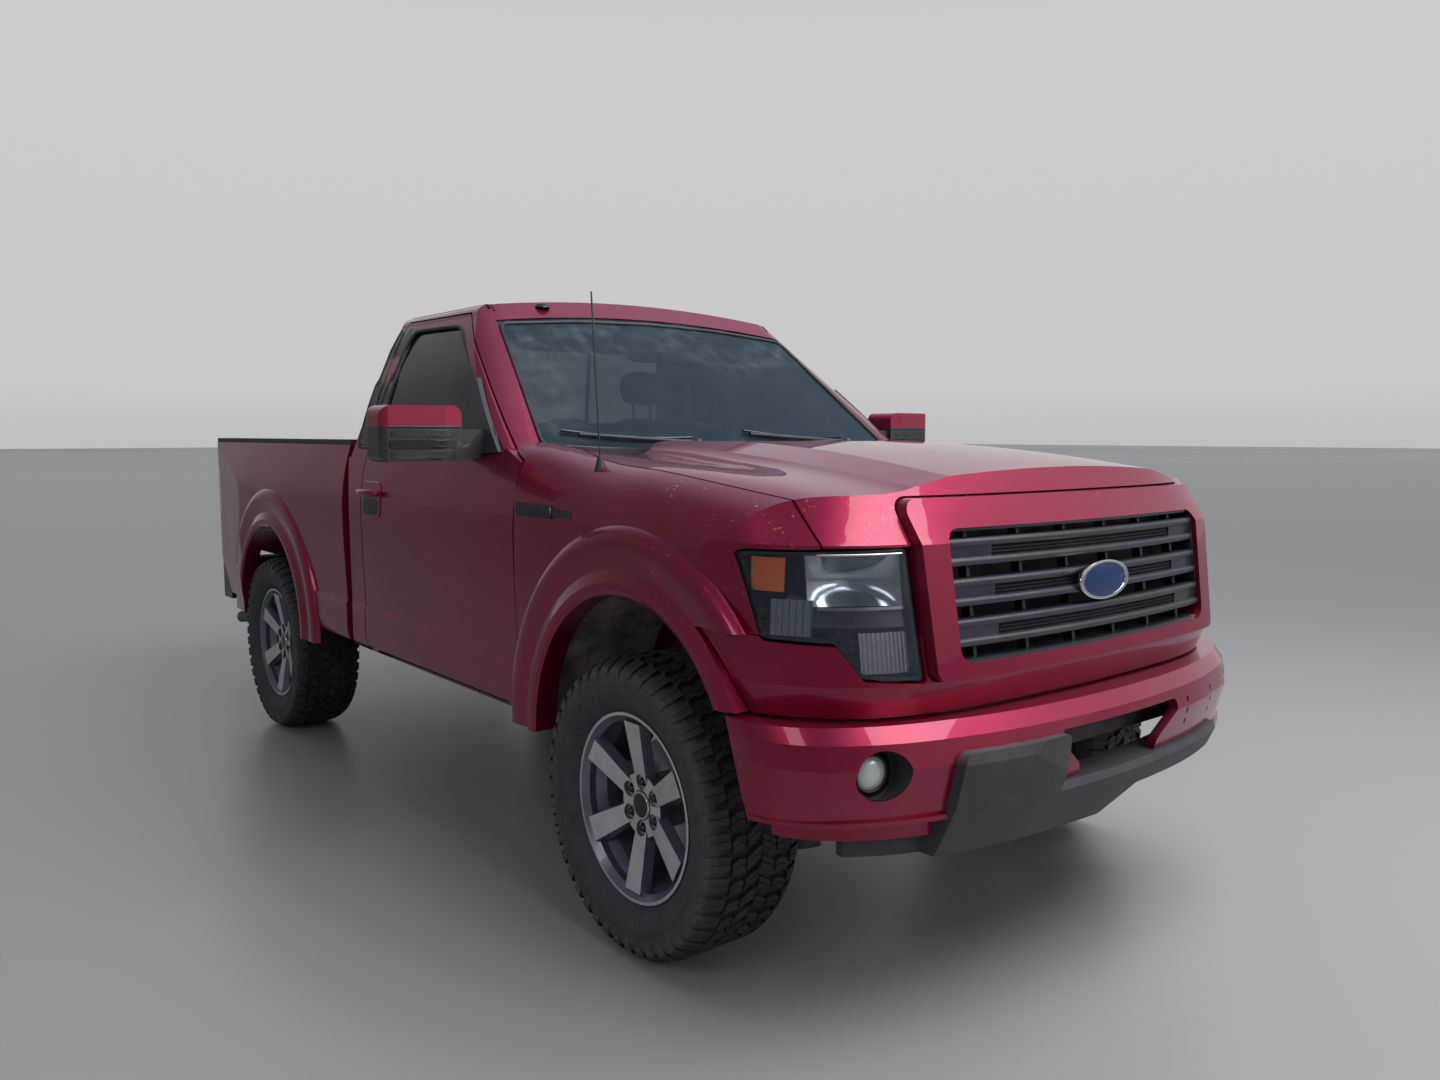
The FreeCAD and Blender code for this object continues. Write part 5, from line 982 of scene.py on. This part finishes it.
FOG_X, FOG_Z, FOG_CUP = 0.7965, 0.684, 0.0612
FOG_FRONT, FOG_BACK, FOG_RADIUS = -2.532, -2.484, 0.041
bumper_face = from_front(skin_of("front_bumper"))
for side, sign in SIDES:
    x = sign * FOG_X
    rows = []
    for k in range(64):
        turn = 2 * math.pi * k / 64
        u, v = math.cos(turn), math.sin(turn)
        edge = bumper_face((x + (FOG_CUP + 0.006) * u, FOG_Z + (FOG_CUP + 0.006) * v))[0]
        rows.append([(x + (FOG_CUP - 0.0008) * u, min(edge.y + 0.002, FOG_FRONT),
                      FOG_Z + (FOG_CUP - 0.0008) * v),
                     (x + (FOG_CUP - 0.0015) * u, FOG_FRONT + 0.004, FOG_Z + (FOG_CUP - 0.0015) * v)])
    sheet(f"fog_liner_{side}", TRIM, rows, 60, close_u=True)
    turned(f"fog_cup_{side}", TRIM, [(FOG_FRONT, FOG_CUP), (FOG_FRONT + 0.002, FOG_CUP - 0.0025),
                                     (FOG_BACK, FOG_CUP - 0.006), (FOG_BACK + 0.002, 0.0001)],
           48, (x, 0, FOG_Z), "Y")
    lean = Matrix.Rotation(sign * math.radians(12), 4, "Z")
    place = Matrix.Translation((sign * (FOG_X + 0.008), FOG_FRONT + 0.006, FOG_Z)) @ lean
    turned(f"fog_lens_{side}", FOG_LENS, [(-0.01, 0.0001), (-0.0095, 0.012), (-0.007, 0.025), (-0.002, 0.036),
                                          (0.003, FOG_RADIUS), (0.012, FOG_RADIUS)],
           56, (0, 0, 0), "Y", slot="lens", place=place)
    ring = turned(f"fog_ring_{side}", TRIM, [(0.001, FOG_RADIUS + 0.0005), (-0.001, FOG_RADIUS + 0.003),
                                             (0.002, FOG_RADIUS + 0.006), (0.03, FOG_RADIUS + 0.006)],
                  56, (0, 0, 0), "Y", place=place)
    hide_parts("fog_lamps")


# Grille: honeycomb between the paired bars and the plain oval badge

def grille_y(x, z):
    """The front of the bars at a place across and a height."""
    return GRILLE_FRONT + GRILLE_LEAN * z + GRILLE_BOW * x * x


# Honeycomb: the cells' width, a row's step and a cell's corner radius as shares of it
CELL = 0.0105
ROW_STEP, CORNER_SHARE = 0.87, 1.732
GRILLE_HALF = 0.569
MESH_HALF = 0.42
BAR_HALF = 0.0108
BAR_DEPTH = 0.032
PAIRS = (0.998, 1.096, 1.194)
PAIR_HALF = 0.0235
SECTION = [(1.0, -1.0), (0.35, -1.0), (0.1, -0.82), (0.0, -0.4), (0.0, 0.4), (0.1, 0.82), (0.35, 1.0),
           (1.0, 1.0)]
GRILLE_LOW, GRILLE_HIGH = 0.93, 1.25


def across(x0, x1, z, section, back, depth, half, count=32):
    """A closed bar that follows the grille's bow."""
    rows = []
    for i in range(count + 1):
        x = x0 + (x1 - x0) * i / count
        rows.append([(x, grille_y(x, z) + back + depth * u, z + half * v) for u, v in section])
    builder = Builder()
    builder.grid(rows, close_v=True)
    ends = len(section)
    builder.faces.append(tuple(range(ends)))
    builder.faces.append(tuple(count * ends + k for k in reversed(range(ends))))
    return builder


slab = [(1.0, -1.0), (0.0, -1.0), (0.0, 1.0), (1.0, 1.0)]
honeycomb = Builder()
for pair, middle_z in enumerate(PAIRS):
    for k in (-1, 1):
        bar = across(-GRILLE_HALF, GRILLE_HALF, middle_z + k * PAIR_HALF, SECTION, 0.0, BAR_DEPTH, BAR_HALF)
        made = bar.make(f"grille_bar_{pair}_{'low' if k < 0 else 'high'}", BARS, 40)
        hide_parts("grille")
        panel = across(k * MESH_HALF, k * GRILLE_HALF, middle_z, slab, 0.008, 0.02,
                       PAIR_HALF - BAR_HALF + 0.002, 8)
        panel.make(f"grille_panel_{pair}_{hand(k)}", PILLAR, 30)
    web = across(-MESH_HALF, MESH_HALF, middle_z, slab, 0.019, 0.008, PAIR_HALF - BAR_HALF + 0.002)
    web.make(f"grille_web_{pair}", HONEYCOMB, 30)
    for r in range(3):
        z = middle_z + (r - 1) * CELL * ROW_STEP
        count = int(2 * MESH_HALF / CELL)
        for c in range(count):
            x = -MESH_HALF + (c + (1.0 if r % 2 else 0.5)) * CELL
            outer, inner, deep = [], [], []
            for k in range(6):
                turn = math.pi / 6 + k * math.pi / 3
                dx, dz = math.cos(turn) * CELL / CORNER_SHARE, math.sin(turn) * CELL / CORNER_SHARE
                outer.append((x + dx, grille_y(x, z) + 0.011, z + dz))
                inner.append((x + dx * 0.72, grille_y(x, z) + 0.0114, z + dz * 0.72))
                deep.append((x + dx * 0.66, grille_y(x, z) + 0.0188, z + dz * 0.66))
            honeycomb.grid([outer, inner, deep], close_v=True)
honeycomb.make("grille_honeycomb", HONEYCOMB, 20)
struts = Builder()
for x in (-0.48, -0.288, -0.096, 0.096, 0.288, 0.48):
    outline = [(x - 0.006, grille_y(x, z) + back, z) for z, back in
               ((GRILLE_LOW, 0.034), (GRILLE_HIGH, 0.034), (GRILLE_HIGH, 0.06), (GRILLE_LOW, 0.06))]
    struts.prism(outline, (0.012, 0, 0))
struts.make("grille_struts", HONEYCOMB, 30)
for name, z in (("low", GRILLE_LOW), ("high", GRILLE_HIGH)):
    edge = across(-GRILLE_HALF - 0.01, GRILLE_HALF + 0.01, z, slab, 0.006, 0.05, 0.004)
    edge.make(f"grille_edge_{name}", PILLAR, 30)
for name, x in (("right", -GRILLE_HALF - 0.006), ("left", GRILLE_HALF + 0.006)):
    side_edge = Builder()
    outline = [(x - 0.004, grille_y(x, z) + back, z) for z, back in
               ((GRILLE_LOW, 0.004), (GRILLE_HIGH, 0.004), (GRILLE_HIGH, 0.06), (GRILLE_LOW, 0.06))]
    side_edge.prism(outline, (0.008, 0, 0))
    side_edge.make(f"grille_edge_{name}", PILLAR, 30)
# A black sheet behind the grille's openings: painted shade for the dark depth behind the bars
painted_shade_sheet = Builder()
painted_shade_sheet.box((-0.6, -2.49, 0.91), (0.6, -2.486, 1.25))
painted_shade_sheet.make("grille_painted_shade", HONEYCOMB, 30)

BADGE_Z, BADGE_HALF, BADGE_HEIGHT, BADGE_SIDES = 1.091, 0.117, 0.054, 72
badge_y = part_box("grille")[0].y


def oval(name, steps, material, filled):
    """Rings of one oval; each step is its (share of the badge's size, distance back)."""
    turns = [2 * math.pi * k / BADGE_SIDES for k in range(BADGE_SIDES)]
    builder = Builder()
    builder.grid([[(BADGE_HALF * share * math.cos(a), badge_y + back,
                    BADGE_Z + BADGE_HEIGHT * share * math.sin(a)) for a in turns] for share, back in steps],
                 close_v=True)
    if filled:
        builder.faces.append(tuple(range(BADGE_SIDES)))
    builder.make(name, material, 40)


oval("badge_centre", [(0.02, 0.0005), (0.3, 0.0), (0.6, 0.0008), (0.84, 0.0024), (0.85, 0.0034)], NAVY, True)
oval("badge_rim",
     [(0.845, 0.0034), (0.86, 0.0004), (0.92, -0.0004), (0.985, 0.0012), (1.0, 0.006), (0.99, 0.011)],
     CHROME, False)


# Bolts on the bumper beam

beam_face = from_front(skin_of("frame"))
for x in (-0.3, 0.3, -0.382, 0.382):
    spot, _ = beam_face((x, 0.7))
    turned(f"beam_bolt_{hand(x)}_{round(abs(x) * 1000)}", ALLOY,
           [(-0.007, 0.0001), (-0.006, 0.007), (-0.0055, 0.0085), (0.0, 0.0095), (0.0, 0.013),
            (0.002, 0.013)], 6 if abs(x) < 0.35 else 18, spot, "Y", 30, slot="steel")


# Wheels: nuts, plain centre caps and valve stems

NUT_COUNT, NUT_CIRCLE = 6, 0.0675
face_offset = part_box("wheel_front_left")[1].x - WHEEL_X - 0.038
for place, sign, y in WHEELS:
    def out(along, a=0.0, r=0.0):
        return Vector((sign * (WHEEL_X + along), y + r * math.sin(a), TYRE_RADIUS + r * math.cos(a)))
    nuts = Builder()
    nut = [(0, 0.0125), (0.02, 0.0122), (0.027, 0.009), (0.031, 0.0045), (0.032, 0.0001)]
    profile = [(sign * along, r) for along, r in nut]
    for i in range(NUT_COUNT):
        centre = out(face_offset - 0.026, 2 * math.pi * i / NUT_COUNT, NUT_CIRCLE)
        nuts.lathe(profile[:2], 6, centre, "X")
        nuts.lathe(profile[1:], 18, centre, "X")
    nuts.make(f"wheel_nuts_{place}", NUT, 35, body=f"wheel_{place}", slot="wheel")
    cap = [(0.0055, 0.0001), (0.005, 0.012), (0.004, 0.026), (0.0035, 0.0325), (0.0012, 0.0335)]
    rim = [(0.0012, 0.0335), (0.0035, 0.0345), (0.0035, 0.0385), (0.001, 0.0405), (-0.002, 0.0408)]
    for name, profile, material in (("cap", cap, GLOSS_TRIM), ("cap_ring", rim, CHROME)):
        turned(f"wheel_{name}_{place}", material, [(sign * along, r) for along, r in profile], 48,
               out(face_offset + 0.001), "X", body=f"wheel_{place}", slot="wheel")
    valve = Builder()
    root = out(face_offset - 0.03, math.pi / 6, 0.238)
    tip = out(face_offset - 0.004, math.pi / 6, 0.222)
    valve.tube([root, root.lerp(tip, 0.5), tip], [0.0055, 0.0045, 0.004], 10)
    valve.make(f"valve_{place}", TRIM, 40, body=f"wheel_{place}", slot="tyre")


# Front wheel arches: crumpled, muddy liner sheets

LINER_Z, LINER_RADIUS = 0.54, 0.55
LINER_IN, LINER_OUT = 0.545, 0.915
for side, sign in SIDES:
    rows = []
    for i in range(49):
        a = math.radians(4 + 172 * i / 48)
        row = []
        for j in range(17):
            x = LINER_IN + (LINER_OUT - LINER_IN) * j / 16
            p = Vector((x * sign, math.cos(a) * 3, math.sin(a) * 3))
            dent = noise.fractal(p * 3.2, 0.9, 2.1, 4) * 0.014 + abs(noise.noise(p * 9.0)) * 0.007
            r = LINER_RADIUS - 0.012 - max(-0.008, min(0.024, dent))
            row.append((sign * x, FRONT_AXLE_Y + r * math.cos(a), LINER_Z + r * math.sin(a)))
        rows.append(row)
    sheet(f"liner_sheet_{side}", MUD, rows, 60)


# Tailgate, tail lamps and rear bumper

gate_cast = from_rear(skin_of("tailgate"))
plate("tailgate_handle_bezel", oblong(-0.125, 0.125, 1.345, 1.415, 0.02), gate_cast, TRIM, 0.004, 0.003,
      body="tailgate")
plate("tailgate_handle", oblong(-0.095, 0.095, 1.36, 1.4, 0.014), gate_cast, GLOSS_TRIM, 0.012, 0.006,
      body="tailgate")
lamp_tree = skin_of("tail_lamps")
lamp_cast = from_rear(lamp_tree)
for side, sign in SIDES:
    xs = sorted((sign * 0.872, sign * 0.925))
    plate(f"reverse_lamp_{side}", oblong(xs[0], xs[1], 1.115, 1.185, 0.008), lamp_cast, TAIL_CLEAR, 0.002,
          0.001, slot="lens")
    for k, (z0, z1) in enumerate(((1.195, 1.3), (1.012, 1.105))):
        plate(f"tail_lens_{side}_{k}", oblong(xs[0], xs[1], z0, z1, 0.008), lamp_cast, TAIL_RED, 0.002,
              0.001, slot="tail_lamp")
    outer = from_side(lamp_tree, sign)
    plate(f"tail_edge_{side}", oblong(2.41, 2.44, 1.02, 1.295, 0.008), outer, TAIL_CLEAR, 0.0015, 0.001,
          slot="lens")

step_cast = from_top(skin_of("rear_bumper"), 1.0)
for k, (x0, x1) in enumerate(((-0.85, -0.33), (-0.28, 0.28), (0.33, 0.85))):
    plate(f"step_pad_{k}", oblong(x0, x1, 2.572, 2.655, 0.014), step_cast, TRIM, 0.005, 0.003)
    ribs = Builder()
    for i in range(4):
        y = 2.585 + i * 0.019
        places = [x0 + 0.02 + (x1 - x0 - 0.04) * t / 8 for t in range(9)]
        ribs.tube([step_cast((x, y))[0] + Vector((0, 0, 0.0055)) for x in places], 0.0025, 6)
    ribs.make(f"step_ribs_{k}", TRIM, 50)


# Cabin: lining, seat, dashboard and door trim

def inside(start, way):
    return caster(cab_skin, start, way)


roof_lining = inside(lambda p: (p[0], p[1], 1.6), (0, 0, 1))
plate("roof_lining", oblong(-0.6, 0.6, -0.42, 0.24, 0.06), roof_lining, HEADLINER, 0.012, 0.01, 0.0, 6,
      0.08, slot="cabin")
floor_lining = inside(lambda p: (p[0], p[1], 0.95), (0, 0, -1))
plate("floor_carpet", oblong(-0.78, 0.78, -1.02, 0.3, 0.05), floor_lining, CARPET, 0.008, 0.006, 0.0, 4,
      0.12, slot="cabin")
back_lining = inside(lambda p: (p[0], 0.0, p[1]), (0, 1, 0))
plate("back_lining", oblong(-0.74, 0.74, 0.75, 1.49, 0.04), back_lining, CABIN_GREY, 0.008, 0.006, 0.0, 5,
      0.1, slot="cabin")
for side, sign in SIDES:
    door = f"door_{side}"
    door_skin = skin_of(door)
    inner = caster(door_skin, lambda p: (sign * 0.2, p[0], p[1]), (sign, 0, 0))
    plate(f"door_card_{side}", oblong(-0.93, 0.12, 0.74, 1.4, 0.06), inner, CABIN, 0.004, 0.003, 0.0, 6,
          0.08, body=door, slot="cabin")
    plate(f"door_insert_{side}", oblong(-0.8, 0.06, 1.17, 1.33, 0.04), inner, CLOTH, 0.01, 0.006, 0.0, 4,
          0.08, body=door, slot="seat")
    plate(f"armrest_{side}", rounded([(-0.62, 1.07), (0.08, 1.08), (0.08, 1.135), (-0.62, 1.135)], 0.02),
          inner, CABIN_GREY, 0.045, 0.014, 0.0, 4, 0.08, body=door, slot="cabin")
    plate(f"door_pocket_{side}", oblong(-0.85, -0.1, 0.79, 0.93, 0.03), inner, CABIN_GREY, 0.02, 0.01, 0.0,
          4, 0.08, body=door, slot="cabin")
    plate(f"inner_lever_{side}", oblong(-0.79, -0.69, 1.1, 1.13, 0.012), inner, CHROME, 0.016, 0.006,
          body=door, slot="cabin")
    plate(f"sun_visor_{side}", oblong(sign * 0.36 - 0.2, sign * 0.36 + 0.2, -0.46, -0.31, 0.03),
          roof_lining, HEADLINER, 0.03, 0.008, -0.01, 3, 0.06, slot="cabin")

seat_pads = []


def seat_pad(name, low, high, fill, turn=0.0, **form):
    """A padded piece of the seat, leaned back by turn about its lower edge."""
    builder = pad_form(low, high, **form)
    pivot = Vector((0, low[1], low[2]))
    for v in builder.verts:
        offset = v - pivot
        y = offset.y * math.cos(turn) + offset.z * math.sin(turn)
        z = offset.z * math.cos(turn) - offset.y * math.sin(turn)
        v.y, v.z = pivot.y + y, pivot.z + z
    made = builder.make(name, CLOTH, 60, slot="seat")
    seat_pads.append(made)


for k, (x0, x1) in enumerate(((-0.695, -0.17), (-0.16, 0.16), (0.17, 0.695))):
    seams = (-0.6, 0.6) if k != 1 else ()
    seat_pad(f"seat_cushion_{k}", (x0, -0.425, 0.905), (x1, 0.085, 1.052), 0.75, 0.0, power=3.6, crown=0.012,
             seams=seams)
    seat_pad(f"seat_back_{k}", (x0, 0.04, 1.0), (x1, 0.155, 1.575), 0.75, 0.19, power=3.4, seams=seams)
for x in (-0.44, 0.44):
    seat_pad(f"head_rest_{hand(x)}", (x - 0.122, 0.165, 1.622), (x + 0.122, 0.25, 1.785), 0.85,
             0.0, power=3.0)
seat_frame = Builder()
seat_frame.box((-0.655, -0.385, 0.705), (0.655, 0.05, 0.905))
for x in (-0.49, -0.39, 0.39, 0.49):
    seat_frame.tube([(x, 0.2, 1.52), (x, 0.215, 1.6), (x, 0.218, 1.66)], 0.006, 10)
seat_frame.make("seat_frame", CABIN, 30, slot="cabin")
for made in seat_pads:
    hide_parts("seat")

dash_cast = from_rear(skin_of("dashboard"), 0.4)
plate("gauge_panel", oblong(0.25, 0.55, 1.318, 1.372, 0.02), dash_cast, GLOSS_TRIM, 0.003, 0.002,
      slot="cabin")
plate("centre_stack", oblong(-0.13, 0.13, 1.12, 1.3, 0.02), dash_cast, CABIN_GREY, 0.008, 0.004,
      slot="cabin")
plate("radio_face", oblong(-0.105, 0.105, 1.21, 1.285, 0.01), dash_cast, GLOSS_TRIM, 0.011, 0.002,
      slot="cabin")
for x in (-0.06, 0.0, 0.06):
    spot, _ = dash_cast((x, 1.16))
    turned(f"dash_knob_{round(x * 100) + 6}", CABIN_GREY,
           [(0.026, 0.0001), (0.026, 0.014), (0.024, 0.0165), (0.0, 0.019)], 24, spot, "Y", slot="cabin")
for k, x in enumerate((-0.72, -0.2, 0.2, 0.66)):
    plate(f"air_vent_{k}", oblong(x - 0.05, x + 0.05, 1.24, 1.3, 0.01), dash_cast, CABIN_GREY, 0.006, 0.003,
          slot="cabin")
    slats = Builder()
    for i in range(4):
        z = 1.25 + i * 0.0125
        spots = [dash_cast((x - 0.04 + 0.08 * t / 4, z))[0] + Vector((0, 0.007, 0)) for t in range(5)]
        slats.tube(spots, 0.002, 6)
    slats.make(f"vent_slats_{k}", CABIN, 50, slot="cabin")
plate("glove_box", oblong(-0.68, -0.25, 1.05, 1.2, 0.02), dash_cast, CABIN_GREY, 0.005, 0.003, slot="cabin")

mirror_spot, _ = front_glass((0.0, 1.85))
shape = pad_form((-0.12, mirror_spot.y + 0.055, 1.775), (0.12, mirror_spot.y + 0.085, 1.84), 5.0, 10)
shape.tube([(0, mirror_spot.y + 0.012, 1.85), (0, mirror_spot.y + 0.035, 1.832),
            (0, mirror_spot.y + 0.07, 1.82)], 0.009, 12)
shape.make("inner_mirror", CABIN, 50, slot="cabin")


# Stage, camera and light

FLOOR_SIZE = 240
bpy.ops.mesh.primitive_plane_add(size=1)
floor = bpy.context.object
floor.name = "show_floor"
floor.scale = (FLOOR_SIZE, FLOOR_SIZE, 1)
floor.data.materials.append(floor_material())


def area_light(name, place, target, size, power):
    data = bpy.data.lights.new(name, "AREA")
    data.shape = "RECTANGLE"
    data.size, data.size_y = size
    data.energy = power
    lamp = bpy.data.objects.new(name, data)
    lamp.location = place
    lamp.rotation_euler = (Vector(target) - Vector(place)).to_track_quat("-Z", "Y").to_euler()
    bpy.context.scene.collection.objects.link(lamp)


area_light("top_light", (1.4, -4.0, 6.0), (0, -0.9, 0.8), (6, 4.5), 460)
area_light("key_light", (-6.5, -3.5, 4.6), (0, -1.0, 0.9), (5, 1.2), 60)
area_light("front_light", (3.5, -9.0, 4.2), (0, -1.5, 0.9), (6, 1.6), 120)


# The world's look by height, from straight down to straight up: dim, then pale at eye level, then cool
SKY = [(0.0, (0.3, 0.3, 0.31)), (0.46, (0.42, 0.42, 0.43)), (0.52, (0.59, 0.585, 0.585)),
       (0.66, (0.6, 0.6, 0.61)), (0.8, (0.4, 0.5, 0.66)), (1.0, (0.5, 0.62, 0.8))]
# Rays that only light the object get this plain dim tone instead
FILL = (0.28, 0.3, 0.36)

world = bpy.data.worlds.new("studio")
bpy.context.scene.world = world
world.use_nodes = True
tree = world.node_tree
tree.nodes.clear()
add, link = tree.nodes.new, tree.links.new
out = add("ShaderNodeOutputWorld")
glow = add("ShaderNodeBackground")
coords = add("ShaderNodeTexCoord")
split = add("ShaderNodeSeparateXYZ")
sky = add("ShaderNodeValToRGB")
while len(sky.color_ramp.elements) < len(SKY):
    sky.color_ramp.elements.new(0.5)
for element, (place, tone) in zip(sky.color_ramp.elements, SKY):
    element.position = place
    element.color = (*tone, 1)
height = add("ShaderNodeMapRange")
height.inputs["From Min"].default_value = -1.0
link(coords.outputs["Generated"], split.inputs["Vector"])
link(split.outputs["Z"], height.inputs["Value"])
link(height.outputs["Result"], sky.inputs["Fac"])
link(sky.outputs["Color"], glow.inputs["Color"])

# Towards the truck's right the world is dimmer, so that flank mirrors less light
dimmer = add("ShaderNodeMapRange")
for key, value in (("From Min", -0.3), ("From Max", 0.08), ("To Min", 0.32)):
    dimmer.inputs[key].default_value = value
link(split.outputs["X"], dimmer.inputs["Value"])
link(dimmer.outputs["Result"], glow.inputs["Strength"])
fill = add("ShaderNodeBackground")
fill.inputs["Color"].default_value = (*FILL, 1)
ray = add("ShaderNodeLightPath")
seen = ray.outputs["Is Camera Ray"]
for name in ("Is Glossy Ray", "Is Transmission Ray"):
    either = add("ShaderNodeMath")
    either.operation = "MAXIMUM"
    link(seen, either.inputs[0])
    link(ray.outputs[name], either.inputs[1])
    seen = either.outputs[0]
mix = add("ShaderNodeMixShader")
link(seen, mix.inputs[0])
link(fill.outputs["Background"], mix.inputs[1])
link(glow.outputs["Background"], mix.inputs[2])
link(mix.outputs["Shader"], out.inputs["Surface"])

# The photograph's viewing angle
CAMERA_PLACE = (-2.671, -4.2835, 1.485)
CAMERA_DOWN, CAMERA_TURN = 5.526, -38.71
LENS_MM, SENSOR_MM = 27.56, 36.0

cam_data = bpy.data.cameras.new("camera")
cam_data.lens = LENS_MM
cam_data.sensor_width = SENSOR_MM
camera = bpy.data.objects.new("camera", cam_data)
camera.location = CAMERA_PLACE
camera.rotation_euler = (math.radians(90 - CAMERA_DOWN), 0, math.radians(CAMERA_TURN))
bpy.context.scene.collection.objects.link(camera)
bpy.context.scene.camera = camera
bpy.context.scene.view_settings.view_transform = "Standard"
